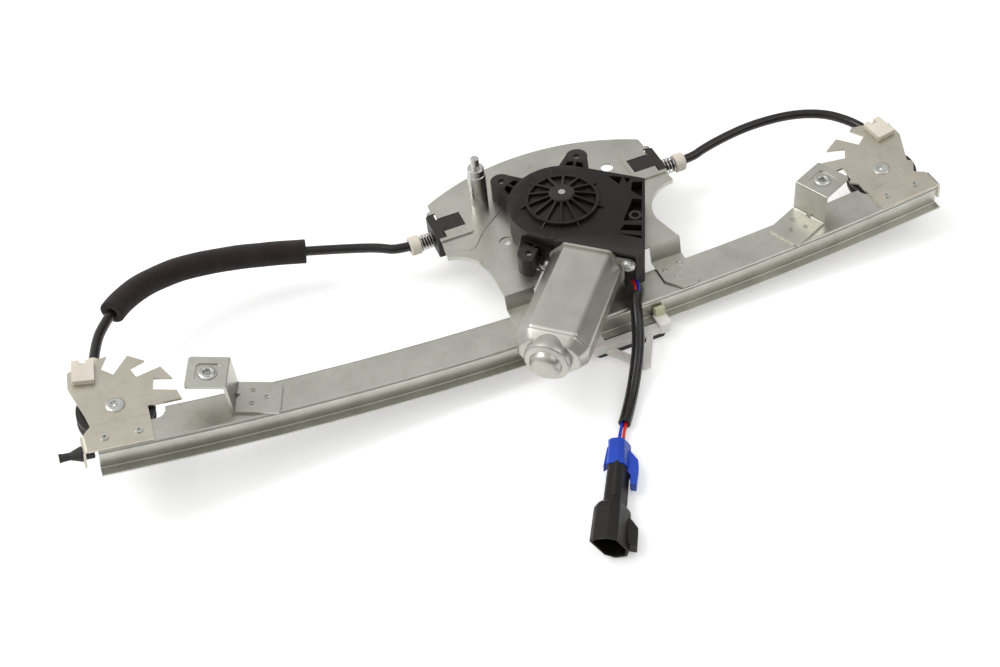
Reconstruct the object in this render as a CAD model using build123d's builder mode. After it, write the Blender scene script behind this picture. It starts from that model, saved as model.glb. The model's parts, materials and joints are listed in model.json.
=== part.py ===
from build123d import *
from math import asin, atan2, cos, degrees, hypot, pi, radians, sin, sqrt, tan
import os

os.makedirs("parts", exist_ok=True)

# Window regulator with one guide rail, a cable drum and a geared motor.
# Millimetres. X runs along the rail, Y across it, and Z stands off the motor plate.
# The origin is on the axis of the mounting post, half way up its threaded tip.

# Sheet thicknesses
RAIL_SHEET = 1.2
PLATE_SHEET = 1.5
BRACKET_SHEET = 1.5

# Guide rail: a hat channel bent to a large arc, standing on its flanges
RAIL_RADIUS = 1800.0
ARC_X = 76.0
WEB_Z = -57.0
RAIL_FRONT = -128.0
RAIL_WIDTH = 29.0
RAIL_DEPTH = 13.3
RAIL_FLANGE = 6.5
RAIL_BEND = 2.4
RAIL_LEFT = -298.0
RAIL_RIGHT = 300.0
NOTCH_LENGTH = 46.0
NOTCH_LINE = 19.0
NOTCH_RADIUS = 8.0

# Motor plate and mounting post
PLATE_TOP = -42.0
POST_RADIUS = 6.6
POST_HEIGHT = 38.0
STUD_RADIUS = 3.0
STUD_LENGTH = 8.0
PLATE_HOLE_X = 101.0
PLATE_HOLE_Y = -2.0
PLATE_HOLE_RADIUS = 4.6

# End brackets: where they sit, and their rivets measured along and across the rail
LEFT_BRACKET_X = -274.0
RIGHT_BRACKET_X = 276.0
LEFT_RIVETS = ((-19, 10.6), (1.9, 10.8))
RIGHT_RIVETS = ((-8.7, 10.8), (13.6, 10.3))
RIVET_RADIUS = 2.5
RIVET_SHANK = 1.8

# Gear unit: drum axis, housing and gears
DRUM_X = 46.6
DRUM_Y = -45.5
HOUSING_RADIUS = 38.0
HOUSING_TOP = -21.0
LID_THICKNESS = 2.0
SPOKE_RING_RADIUS = 24.8
SPOKE_COUNT = 14
HUB_RISE = 6.0
AXLE_RADIUS = 4.0
WHEEL_RADIUS = 25.7
WHEEL_TEETH = 73
WHEEL_WIDTH = 8.0
DRUM_ROPE_RADIUS = 24.0
DRUM_WIDTH = 12.0

# Motor
MOTOR_X = 42.8
MOTOR_Y = -95.7
MOTOR_Z = -35.0
MOTOR_TURN = 41.2
CAN_WIDTH = 50.0
CAN_HEIGHT = 32.0
CAN_FLAT = 31.2
CAN_LENGTH = 80.0
CAN_SHEET = 1.6
FLANGE_SCREWS = ((-29, -6.5), (29, 8))
FLANGE_SCREW_RADIUS = 2.0
FLANGE_SCREW_EDGE = 6.0

# Cable, its conduits and the seats where they push on the motor plate
ROPE_RADIUS = 0.8
ROPE_DROP = 7.0
CONDUIT_RADIUS = 3.5
CONDUIT_Z = -52.0
LEFT_CONDUIT_Y = -6.3
RIGHT_CONDUIT_Y = -10.6
FOAM_RADIUS = 9.0
PULLEY_ROPE_RADIUS = 22.0
ROPE_LINE = 14.9

# Level that the carriage's underside and the connector lie on
GROUND_Z = -81.0

# Clearances
RUNNING = 0.06
LOOSE = 0.3

arc_z = WEB_Z + RAIL_RADIUS
rail_back = RAIL_FRONT + RAIL_WIDTH
plate_bottom = PLATE_TOP - PLATE_SHEET
ground_z = WEB_Z - 23.0


def web_height(x):
    """Height of the web's upper face at x."""
    return arc_z - sqrt(RAIL_RADIUS**2 - (x - ARC_X) ** 2)


def on_rail(x):
    """Plane on the web at x: X along the rail, Y across it from the front edge, Z off the web."""
    turn = asin((x - ARC_X) / RAIL_RADIUS)
    return Plane(
        origin=(x, RAIL_FRONT, web_height(x)),
        x_dir=(cos(turn), 0, sin(turn)),
        z_dir=(-sin(turn), 0, cos(turn)),
    )


def lifted(plane, height):
    """The same plane, moved along its own normal."""
    return plane.offset(height)


def save(part, label):
    part.label = label
    export_step(part, f"parts/{label}.step")


def corner_radii(points):
    """Arc radii that take 0.45 of the shorter run beside each corner."""
    radii = []
    for before, corner, after in zip(points, points[1:], points[2:]):
        into = Vector(*corner) - Vector(*before)
        out = Vector(*after) - Vector(*corner)
        half_turn = radians(into.get_angle(out)) / 2
        radii.append(0.45 * min(into.length, out.length) / tan(half_turn))
    return radii


def tube(points, radii, radius, bore=0.0):
    """A round tube whose middle line is straight runs joined by tangent arcs."""
    with BuildLine() as route:
        FilletPolyline(*points, radius=radii)
    start = Plane(origin=route.line @ 0, z_dir=route.line % 0)
    with BuildPart() as solid:
        with BuildSketch(start):
            Circle(radius)
        sweep(path=route.wires()[0])
        if bore:
            with BuildSketch(start):
                Circle(bore)
            sweep(path=route.wires()[0], mode=Mode.SUBTRACT)
    section = pi * (radius**2 - bore**2)
    print("tube radii", [round(value) for value in radii], "length", round(route.wires()[0].length, 1))
    print("volume over section times length", round(solid.part.volume / section / route.wires()[0].length, 4))
    return solid.part


def between(start, end, share):
    """The point at a share of the way from start to end."""
    return tuple(a + (b - a) * share for a, b in zip(start, end))


# Guide rail

left_turn = asin((RAIL_LEFT - ARC_X) / RAIL_RADIUS)
right_turn = asin((RAIL_RIGHT - ARC_X) / RAIL_RADIUS)
left_end = on_rail(RAIL_LEFT)
rail_axis = Axis((ARC_X, 0, arc_z), (0, -1, 0))
end_section = Plane(origin=left_end.origin, x_dir=(0, 1, 0), z_dir=left_end.x_dir)

with BuildPart() as guide_rail:
    with BuildSketch(end_section) as hat:
        with BuildLine():
            wall = RAIL_SHEET
            foot = -RAIL_DEPTH - wall
            Polyline(
                (0, 0), (RAIL_WIDTH, 0), (RAIL_WIDTH, -RAIL_DEPTH), (RAIL_WIDTH + RAIL_FLANGE, -RAIL_DEPTH),
                (RAIL_WIDTH + RAIL_FLANGE, foot), (RAIL_WIDTH - wall, foot), (RAIL_WIDTH - wall, -wall),
                (wall, -wall), (wall, foot), (-RAIL_FLANGE, foot),
                (-RAIL_FLANGE, -RAIL_DEPTH), (0, -RAIL_DEPTH),
                close=True,
            )
        make_face()
        fillet([v for v in hat.vertices() if abs(v.Y) < 0.01], RAIL_BEND)
        fillet([v for v in hat.vertices() if abs(v.Y + wall) < 0.01], RAIL_BEND - wall)
        inner = [v for v in hat.vertices() if abs(v.Y + RAIL_DEPTH) < 0.01 and -1 < v.X < RAIL_WIDTH + 1]
        fillet(inner, 0.8)
        outer = [v for v in hat.vertices() if abs(v.Y - foot) < 0.01 and -1 < v.X < RAIL_WIDTH + 1]
        fillet(outer, 0.8 + wall)
    revolve(axis=rail_axis, revolution_arc=degrees(right_turn - left_turn))
    # the back wall and part of the web are cut away at each end to clear the pulley
    for end_x, inward in ((RAIL_LEFT, -1), (RAIL_RIGHT, 0)):
        with BuildSketch(on_rail(end_x)) as notch:
            with Locations((0, NOTCH_LINE)):
                Rectangle(2 * NOTCH_LENGTH, 2 * RAIL_WIDTH, align=(Align.CENTER, Align.MIN))
            fillet(notch.vertices().sort_by(Axis.Y)[:2].sort_by(Axis.X)[inward], NOTCH_RADIUS)
        extrude(amount=2 * RAIL_WIDTH, both=True, mode=Mode.SUBTRACT)
    for bracket_x, rivets in ((LEFT_BRACKET_X, LEFT_RIVETS), (RIGHT_BRACKET_X, RIGHT_RIVETS)):
        with BuildSketch(on_rail(bracket_x).offset(3)):
            with Locations(*rivets):
                Circle(RIVET_SHANK + 0.02)
        extrude(amount=-8, mode=Mode.SUBTRACT)
save(guide_rail.part, "guide_rail")


# Motor plate: a pressed sheet with two seats for the conduits and two tabs on the rail

SEAT_LENGTH = 25.0
SEAT_WIDTH = 33.0
SEAT_RISE = 1.2
STEM_LENGTH = 16.5
STEM_WIDTH = 14.0
LEFT_SEAT_X = -38.5
RIGHT_SEAT_X = 138.5
TAB_BEND = 1.5
LIP_DEPTH = 3.5
LOWER_EDGE = -92.0
JOGGLE = 3.0
LEFT_TAB = (-18.0, 3.5)
RIGHT_TAB = (92.0, 115.0)
LEFT_SCOOP_RADIUS = 28.0
RIGHT_SCOOP_RADIUS = 32.0
DIMPLE = (4.0, -43.5)
left_scoop = (-46.0, -66.0)
right_scoop = (141.0, -68.0)
# screws that hold the gear housing: three ears and the boss of its cover
ears = [(79.3, 3.5), (19.2, 2.8), (8.3, -74.7)]
cover_boss = (86.2, -80.6)
EAR_HOLE = 2.6
motor_axis_dir = (-sin(radians(MOTOR_TURN)), -cos(radians(MOTOR_TURN)), 0)
motor_side_dir = (cos(radians(MOTOR_TURN)), -sin(radians(MOTOR_TURN)), 0)


def motor_plan(side, along):
    """Plan position given from the middle of the motor's flange."""
    return (
        MOTOR_X + side * motor_side_dir[0] + along * motor_axis_dir[0],
        MOTOR_Y + side * motor_side_dir[1] + along * motor_axis_dir[1],
    )


def on_arc(centre, radius, angle):
    """Point of a circle in plan."""
    return (centre[0] + radius * cos(radians(angle)), centre[1] + radius * sin(radians(angle)))


with BuildPart() as motor_plate:
    with BuildSketch(Plane.XY.offset(plate_bottom)) as plate_outline:
        with BuildLine():
            Line((LEFT_TAB[0], LOWER_EDGE), on_arc(left_scoop, LEFT_SCOOP_RADIUS, 0))
            CenterArc(left_scoop, LEFT_SCOOP_RADIUS, 0, 77)
            Line(on_arc(left_scoop, LEFT_SCOOP_RADIUS, 77), (-34, 19))
            ThreePointArc((-34, 19), (53, 40), (135.6, 16.6))
            Line((135.6, 16.6), on_arc(right_scoop, RIGHT_SCOOP_RADIUS, 95))
            CenterArc(right_scoop, RIGHT_SCOOP_RADIUS, 95, 85)
            Line(on_arc(right_scoop, RIGHT_SCOOP_RADIUS, 180), (RIGHT_TAB[1], LOWER_EDGE))
            Line((RIGHT_TAB[1], LOWER_EDGE), (LEFT_TAB[0], LOWER_EDGE))
        make_face()
    extrude(amount=PLATE_SHEET)
    # turned-down lips on the two scooped edges
    for centre, radius, start in ((left_scoop, LEFT_SCOOP_RADIUS, 0), (right_scoop, RIGHT_SCOOP_RADIUS, 95)):
        with BuildSketch(Plane.XY.offset(PLATE_TOP)):
            with Locations(centre):
                Circle(radius + PLATE_SHEET)
                Circle(radius, mode=Mode.SUBTRACT)
            with BuildLine():
                span = 77 if start == 0 else 85
                far = 3 * radius
                Polyline(centre, on_arc(centre, far, start), on_arc(centre, far, start + span / 2),
                         on_arc(centre, far, start + span), close=True)
            make_face(mode=Mode.INTERSECT)
        extrude(amount=-LIP_DEPTH)
    # raised seats round the conduit ends, and their windows
    for seat_x, seat_y, inward in ((LEFT_SEAT_X, LEFT_CONDUIT_Y, 1), (RIGHT_SEAT_X, RIGHT_CONDUIT_Y, -1)):
        middle = seat_x + inward * SEAT_LENGTH / 2
        with BuildSketch(Plane.XY.offset(PLATE_TOP)) as raised:
            with Locations((middle, seat_y)):
                RectangleRounded(SEAT_LENGTH, SEAT_WIDTH, 2)
        extrude(amount=SEAT_RISE)
        with BuildSketch(Plane.XY.offset(plate_bottom)):
            with Locations((middle, seat_y)):
                RectangleRounded(SEAT_LENGTH - 2 * PLATE_SHEET, SEAT_WIDTH - 2 * PLATE_SHEET, 1)
        extrude(amount=SEAT_RISE, mode=Mode.SUBTRACT)
        with BuildSketch(Plane.XY.offset(plate_bottom - 1)):
            with Locations((seat_x + inward * (STEM_LENGTH + 5.5 + LOOSE) / 2, seat_y)):
                Rectangle(STEM_LENGTH + 5.5 + LOOSE, STEM_WIDTH + 2 * LOOSE)
            with Locations((seat_x + inward * 2.25, seat_y)):
                Rectangle(7, 27)
        extrude(amount=10, mode=Mode.SUBTRACT)
    # room for the motor, which dips below the plate
    with BuildSketch(Plane.XY.offset(plate_bottom - 1)):
        with BuildLine():
            Polyline(motor_plan(-31, -5), motor_plan(60, -5), motor_plan(60, 70), motor_plan(-31, 70),
                     close=True)
        make_face()
        with BuildLine():
            Polyline(motor_plan(-36, -16), motor_plan(-23, -16), motor_plan(-23, 7), motor_plan(-36, 7),
                     close=True)
        make_face()
        with Locations(((RIGHT_TAB[0] + RIGHT_TAB[1]) / 2 + 1, LOWER_EDGE)):
            Rectangle(RIGHT_TAB[1] - RIGHT_TAB[0] + 2, 22, mode=Mode.SUBTRACT)
    extrude(amount=4, mode=Mode.SUBTRACT)
    # stepped tabs that lie on the rail's web
    for tab_x, tab_end in ((LEFT_TAB, RAIL_FRONT + 9), (RIGHT_TAB, RAIL_FRONT + 2)):
        tab_bottom = max(web_height(tab_x[0]), web_height(tab_x[1]))
        with BuildSketch(Plane.YZ.offset(tab_x[0])):
            with BuildLine():
                Polyline(
                    (LOWER_EDGE + 2, plate_bottom), (LOWER_EDGE + 2, PLATE_TOP), (LOWER_EDGE, PLATE_TOP),
                    (LOWER_EDGE - JOGGLE, tab_bottom + PLATE_SHEET), (tab_end, tab_bottom + PLATE_SHEET),
                    (tab_end, tab_bottom), (LOWER_EDGE - JOGGLE + 1.2, tab_bottom),
                    (LOWER_EDGE + 1.2, plate_bottom), close=True,
                )
            make_face()
        extrude(amount=tab_x[1] - tab_x[0])
    # the right tab has one corner cut off
    with BuildSketch(Plane.XY.offset(WEB_Z - 1)):
        with BuildLine():
            Polyline((RIGHT_TAB[0] - 1, RAIL_FRONT), (RIGHT_TAB[0] + 10, RAIL_FRONT),
                     (RIGHT_TAB[0] - 1, RAIL_FRONT + 14), close=True)
        make_face()
        with Locations((RIGHT_TAB[1], RAIL_FRONT + 2)):
            Rectangle(4, 4, rotation=45)
    extrude(amount=6, mode=Mode.SUBTRACT)
    # holes: drum hub, fixing hole, and a dimple with a small hole
    with BuildSketch(Plane.XY.offset(plate_bottom - 1)):
        with Locations((DRUM_X, DRUM_Y)):
            Circle(12)
        with Locations((PLATE_HOLE_X, PLATE_HOLE_Y)):
            Circle(PLATE_HOLE_RADIUS)
        with Locations(DIMPLE):
            Circle(2.2)
        with Locations(*ears, cover_boss):
            Circle(EAR_HOLE)
    extrude(amount=4, mode=Mode.SUBTRACT)
    with BuildSketch(Plane.XY.offset(PLATE_TOP - 0.7)):
        with Locations(DIMPLE):
            Circle(6)
    extrude(amount=2, mode=Mode.SUBTRACT)
    # pressed stiffening beads
    for start, end in (((-24, -70), (-6, -20)), ((8, 14), (60, 30))):
        heading = degrees(atan2(end[1] - start[1], end[0] - start[0]))
        length = hypot(end[0] - start[0], end[1] - start[1])
        with BuildSketch(Plane.XY.offset(PLATE_TOP)):
            with Locations(Location(((start[0] + end[0]) / 2, (start[1] + end[1]) / 2, 0), (0, 0, heading))):
                SlotOverall(length, 3)
        extrude(amount=0.6, taper=30)
save(motor_plate.part, "motor_plate")


# Mounting post with its threaded tip

with BuildPart() as mounting_post:
    with BuildSketch(Plane.XZ) as post_profile:
        with BuildLine():
            shoulder = PLATE_TOP + POST_HEIGHT
            Polyline(
                (0, PLATE_TOP), (POST_RADIUS, PLATE_TOP), (POST_RADIUS, shoulder - 6.5),
                (POST_RADIUS - 0.5, shoulder - 6), (POST_RADIUS - 0.5, shoulder - 0.8),
                (POST_RADIUS - 1.3, shoulder), (STUD_RADIUS, shoulder), (STUD_RADIUS, shoulder + STUD_LENGTH),
                (STUD_RADIUS - 0.8, shoulder + STUD_LENGTH + 0.8), (0, shoulder + STUD_LENGTH + 0.8),
                close=True,
            )
        make_face()
    revolve(axis=Axis.Z)
save(mounting_post.part, "mounting_post")


# Gear housing: a round tub for the worm wheel joined to a tunnel for the worm

housing_bottom = PLATE_TOP + 0.1
housing_plan = [(72.3, -16.6), (109, -49.5), (78.5, -111.5), motor_plan(34, -1), motor_plan(-24, -1),
                (DRUM_X, DRUM_Y)]
EAR_TOP = -27.0
EAR_RADIUS = 8.0
EAR_ROOT = 15.0
EAR_POCKET_DEPTH = 8.0
WHEEL_ROOM = 29.0
TUNNEL_BORE = 6.5
FRONT_BUSH = -62.0
HOUSING_GAP = 0.02
motor_face = Plane(origin=(MOTOR_X, MOTOR_Y, MOTOR_Z), x_dir=motor_side_dir, z_dir=motor_axis_dir)
TUNNEL_POCKET_DEPTH = 5.5
COVER_OVERHANG = 0.7
COVER_BOSS_RADIUS = 4.5
small_boss = (91.5, -51.4)
# dark pockets beside the wall of the worm tunnel, seen from above
tunnel_pockets = [
    [(86.7, -35.2), (95.3, -40.8), (90.0, -46.8)],
    [(96.0, -41.4), (100.0, -45.0), (95.6, -48.4)],
    [(99.3, -48.9), (105.8, -51.6), (98.3, -66.2), (94.5, -56.3)],
    [(91.7, -64.7), (97.1, -68.4), (87.9, -87.1), (76.1, -82.4)],
    [(75.3, -86.1), (85.6, -91.8), (82.9, -97.2), (69.9, -89.7)],
    [(66.8, -91.3), (80.9, -101.2), (79.6, -103.9)],
]


# plan of the gear unit: the wheel's round part and the straight part over the worm
with BuildSketch() as housing_outline:
    with Locations((DRUM_X, DRUM_Y)):
        Circle(HOUSING_RADIUS)
    with BuildLine():
        Polyline(*housing_plan, close=True)
    make_face()

# plan of the pockets, with the two bosses left standing
with BuildSketch() as pocket_plan:
    for corners in tunnel_pockets:
        with BuildLine():
            Polyline(*corners, close=True)
        make_face()
    with Locations(cover_boss, small_boss):
        Circle(COVER_BOSS_RADIUS, mode=Mode.SUBTRACT)

with BuildPart() as gear_housing:
    with BuildSketch(Plane.XY.offset(housing_bottom)):
        add(housing_outline.sketch)
    extrude(amount=HOUSING_TOP - housing_bottom)
    for spot in ears:
        reach = hypot(spot[0] - DRUM_X, spot[1] - DRUM_Y)
        aim = atan2(spot[1] - DRUM_Y, spot[0] - DRUM_X)
        ear_plane = Plane(origin=(DRUM_X, DRUM_Y, housing_bottom), x_dir=(cos(aim), sin(aim), 0),
                          z_dir=(0, 0, 1))
        with BuildSketch(ear_plane):
            with BuildLine():
                Polyline((HOUSING_RADIUS - 7, -EAR_ROOT), (reach, -EAR_RADIUS), (reach, EAR_RADIUS),
                         (HOUSING_RADIUS - 7, EAR_ROOT), close=True)
            make_face()
            with Locations((reach, 0)):
                Circle(EAR_RADIUS)
        extrude(amount=EAR_TOP - housing_bottom)
        # screw hole and the two pockets that lighten each ear
        with BuildSketch(ear_plane.offset(EAR_TOP - housing_bottom)):
            for side in (-1, 1):
                with BuildLine():
                    Polyline((HOUSING_RADIUS + 1.5, side), (reach - EAR_RADIUS + 2, side),
                             (reach - EAR_RADIUS + 1, side * 5.5), (HOUSING_RADIUS + 1.5, side * 9),
                             close=True)
                make_face()
        extrude(amount=-EAR_POCKET_DEPTH, mode=Mode.SUBTRACT)
        with BuildSketch(Plane(origin=(spot[0], spot[1], EAR_TOP))):
            Circle(EAR_HOLE)
        extrude(amount=-40, mode=Mode.SUBTRACT)
    # room for the wheel, and the bore of the worm tunnel
    with BuildSketch(Plane.XY.offset(HOUSING_TOP)):
        with Locations((DRUM_X, DRUM_Y)):
            Circle(WHEEL_ROOM)
    extrude(amount=-(HOUSING_TOP - housing_bottom - 1.6), mode=Mode.SUBTRACT)
    with BuildSketch(Plane.XY.offset(housing_bottom - 1)):
        with Locations((DRUM_X, DRUM_Y)):
            Circle(10.5)
    extrude(amount=6, mode=Mode.SUBTRACT)
    # the housing stops at the motor's flange, and holds its two screws
    with BuildSketch(motor_face.offset(-HOUSING_GAP)):
        Rectangle(2 * (FLANGE_SCREWS[1][0] + FLANGE_SCREW_EDGE), 2 * HOUSING_RADIUS)
    extrude(amount=CAN_LENGTH, mode=Mode.SUBTRACT)
    with BuildSketch(motor_face.offset(-HOUSING_GAP)):
        with Locations(*FLANGE_SCREWS):
            Circle(4.6)
    extrude(amount=-14)
    with BuildSketch(motor_face):
        Circle(TUNNEL_BORE)
    extrude(amount=FRONT_BUSH, mode=Mode.SUBTRACT)
    with BuildSketch(motor_face):
        with Locations(*FLANGE_SCREWS):
            Circle(FLANGE_SCREW_RADIUS + 0.02)
    extrude(amount=-13, mode=Mode.SUBTRACT)
    # the cover's pockets go on into the housing, and the larger boss takes the fourth screw
    with BuildSketch(Plane.XY.offset(HOUSING_TOP + 1)):
        add(pocket_plan.sketch)
    extrude(amount=-TUNNEL_POCKET_DEPTH - 1, mode=Mode.SUBTRACT)
    with BuildSketch(Plane.XY.offset(HOUSING_TOP + 1)):
        with Locations(cover_boss):
            Circle(EAR_HOLE)
    extrude(amount=-40, mode=Mode.SUBTRACT)
save(gear_housing.part, "gear_housing")


# Gear cover: the flat lid with its domed hub, carried by radial spokes inside a raised ring

with BuildPart() as gear_cover:
    lid_top = HOUSING_TOP + LID_THICKNESS
    with BuildSketch(Plane.XY.offset(HOUSING_TOP + HOUSING_GAP)):
        add(housing_outline.sketch)
        with Locations((DRUM_X, DRUM_Y)):
            Circle(HOUSING_RADIUS + COVER_OVERHANG)
    extrude(amount=LID_THICKNESS - HOUSING_GAP)
    with BuildSketch(motor_face.offset(-HOUSING_GAP)):
        Rectangle(2 * (FLANGE_SCREWS[1][0] + FLANGE_SCREW_EDGE), 2 * HOUSING_RADIUS)
    extrude(amount=CAN_LENGTH, mode=Mode.SUBTRACT)
    with BuildSketch(Plane.XY.offset(lid_top + 1)):
        add(pocket_plan.sketch)
    extrude(amount=-2 * LID_THICKNESS, mode=Mode.SUBTRACT)
    with BuildSketch(Plane.XY.offset(lid_top + 1)):
        with Locations(cover_boss):
            Circle(EAR_HOLE)
    extrude(amount=-2 * LID_THICKNESS, mode=Mode.SUBTRACT)
    dome_plane = Plane(origin=(DRUM_X, DRUM_Y, lid_top), x_dir=(1, 0, 0), z_dir=(0, -1, 0))
    # shallow cone that carries the spokes
    with BuildSketch(dome_plane):
        with BuildLine():
            Polyline((0, -0.5), (SPOKE_RING_RADIUS, -0.5), (SPOKE_RING_RADIUS, 0.6), (9, 4.6), (0, 4.6),
                     close=True)
        make_face()
    revolve(axis=Axis((DRUM_X, DRUM_Y, 0), (0, 0, 1)))
    # ring and hub
    with BuildSketch(dome_plane):
        with BuildLine():
            Polyline((SPOKE_RING_RADIUS - 1, 0), (SPOKE_RING_RADIUS + 1, 0), (SPOKE_RING_RADIUS + 1, 3),
                     (SPOKE_RING_RADIUS - 1, 3), close=True)
        make_face()
        with BuildLine():
            Polyline((0, 0), (9, 0), (9, 3 + HUB_RISE - 1), (8, 3 + HUB_RISE), (0, 3 + HUB_RISE), close=True)
        make_face()
    revolve(axis=Axis((DRUM_X, DRUM_Y, 0), (0, 0, 1)))
    # spokes that fall from the hub to the ring
    for index in range(SPOKE_COUNT):
        turn = radians(360 / SPOKE_COUNT * (index + 0.5))
        with BuildSketch(Plane(origin=(DRUM_X, DRUM_Y, lid_top), x_dir=(cos(turn), sin(turn), 0),
                               z_dir=(sin(turn), -cos(turn), 0))):
            with BuildLine():
                Polyline((7, 2), (SPOKE_RING_RADIUS, 0), (SPOKE_RING_RADIUS, 2.8), (8.5, 3 + HUB_RISE - 1.2),
                         close=True)
            make_face()
        extrude(amount=0.8, both=True)
    # short ribs outside the ring
    for index in range(SPOKE_COUNT):
        if index % 2 == 0:
            turn = radians(360 / SPOKE_COUNT * (index + 0.5))
            with BuildSketch(Plane(origin=(DRUM_X, DRUM_Y, lid_top), x_dir=(cos(turn), sin(turn), 0),
                                   z_dir=(sin(turn), -cos(turn), 0))):
                with BuildLine():
                    Polyline((SPOKE_RING_RADIUS, -0.5), (SPOKE_RING_RADIUS + 7, -0.5),
                             (SPOKE_RING_RADIUS, 2.6), close=True)
                make_face()
            extrude(amount=0.6, both=True)
    with BuildSketch(Plane.XY.offset(lid_top + 10)):
        with Locations((DRUM_X, DRUM_Y)):
            Circle(AXLE_RADIUS - 1.5 + 0.02)
    extrude(amount=-30, mode=Mode.SUBTRACT)
save(gear_cover.part, "gear_cover")


# Drum axle: a pin from the bottom of the drum housing up to the hub of the cover

drum_middle = CONDUIT_Z
drum_bottom = drum_middle - DRUM_WIDTH / 2
drum_top = drum_middle + DRUM_WIDTH / 2
cup_floor = drum_bottom - 0.6
CUP_FLOOR = 2.0
hub_top = lid_top + 3 + HUB_RISE
axle_bottom = cup_floor - CUP_FLOOR

with BuildPart() as drum_axle:
    with BuildSketch(Plane.XZ.offset(-DRUM_Y)):
        with BuildLine():
            low = axle_bottom + 0.3
            Polyline(
                (DRUM_X, low), (DRUM_X + AXLE_RADIUS, low), (DRUM_X + AXLE_RADIUS, HOUSING_TOP - 1),
                (DRUM_X + AXLE_RADIUS - 1.5, HOUSING_TOP - 1), (DRUM_X + AXLE_RADIUS - 1.5, hub_top + 0.3),
                (DRUM_X, hub_top + 0.5), close=True,
            )
        make_face()
    revolve(axis=Axis((DRUM_X, DRUM_Y, 0), (0, 0, 1)))
save(drum_axle.part, "drum_axle")


# Worm wheel

wheel_bottom = MOTOR_Z - WHEEL_WIDTH / 2
wheel_plane = Plane(origin=(DRUM_X, DRUM_Y, wheel_bottom))
TOOTH_HEIGHT = 1.4

with BuildPart() as worm_wheel:
    with BuildSketch(wheel_plane):
        Circle(WHEEL_RADIUS - TOOTH_HEIGHT)
        with PolarLocations(WHEEL_RADIUS - TOOTH_HEIGHT / 2 - 0.2, WHEEL_TEETH):
            Rectangle(TOOTH_HEIGHT + 0.4, 1.1)
    extrude(amount=WHEEL_WIDTH)
    with BuildSketch(wheel_plane):
        Circle(9)
    extrude(amount=WHEEL_WIDTH + 3)
    # the wheel is dished between its rim and its hub, with ribs left standing
    with BuildSketch(wheel_plane.offset(WHEEL_WIDTH)):
        Circle(WHEEL_RADIUS - 5)
        Circle(9, mode=Mode.SUBTRACT)
        with PolarLocations(14, 6):
            Rectangle(16, 1.6, mode=Mode.SUBTRACT)
    extrude(amount=-3, mode=Mode.SUBTRACT)
    with BuildSketch(wheel_plane):
        Circle(AXLE_RADIUS + RUNNING)
    extrude(amount=WHEEL_WIDTH + 4, mode=Mode.SUBTRACT)
save(worm_wheel.part, "worm_wheel")


# Cable drum, with its winding as closed turns in the grooves

groove_levels = [drum_middle - 3.0, drum_middle - 1.0, drum_middle + 1.0, drum_middle + 3.0]

with BuildPart() as cable_drum:
    with BuildSketch(Plane.XZ.offset(-DRUM_Y)):
        with BuildLine():
            Polyline(
                (DRUM_X + AXLE_RADIUS + RUNNING, drum_bottom), (DRUM_X + DRUM_ROPE_RADIUS + 1.2, drum_bottom),
                (DRUM_X + DRUM_ROPE_RADIUS + 1.2, drum_bottom + 1.5),
                (DRUM_X + DRUM_ROPE_RADIUS, drum_bottom + 1.9),
                (DRUM_X + DRUM_ROPE_RADIUS, drum_top - 1.9),
                (DRUM_X + DRUM_ROPE_RADIUS + 1.2, drum_top - 1.5),
                (DRUM_X + DRUM_ROPE_RADIUS + 1.2, drum_top), (DRUM_X + 9, drum_top),
                (DRUM_X + 9, wheel_bottom - 0.02), (DRUM_X + AXLE_RADIUS + RUNNING, wheel_bottom - 0.02),
                close=True,
            )
        make_face()
        with Locations(*[(DRUM_X + DRUM_ROPE_RADIUS, level) for level in groove_levels]):
            Circle(ROPE_RADIUS + 0.05, mode=Mode.SUBTRACT)
    revolve(axis=Axis((DRUM_X, DRUM_Y, 0), (0, 0, 1)))
    # ribbed underside
    with BuildSketch(Plane.XY.offset(drum_bottom)):
        with Locations((DRUM_X, DRUM_Y)):
            Circle(DRUM_ROPE_RADIUS - 3.5)
            Circle(9, mode=Mode.SUBTRACT)
            with PolarLocations(14, 6):
                Rectangle(16, 2, mode=Mode.SUBTRACT)
    extrude(amount=DRUM_WIDTH - 3, mode=Mode.SUBTRACT)
save(cable_drum.part, "cable_drum")

with BuildPart() as drum_winding:
    with BuildSketch(Plane.XZ.offset(-DRUM_Y)):
        with Locations(*[(DRUM_X + DRUM_ROPE_RADIUS, level) for level in groove_levels]):
            Circle(ROPE_RADIUS)
    revolve(axis=Axis((DRUM_X, DRUM_Y, 0), (0, 0, 1)))
save(drum_winding.part, "drum_winding")


# Drum housing: the cup under the plate, open on one side where the cable leaves

CUP_RADIUS = 31.0
CUP_BORE = 26.4
cup_top = plate_bottom - 0.05

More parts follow.
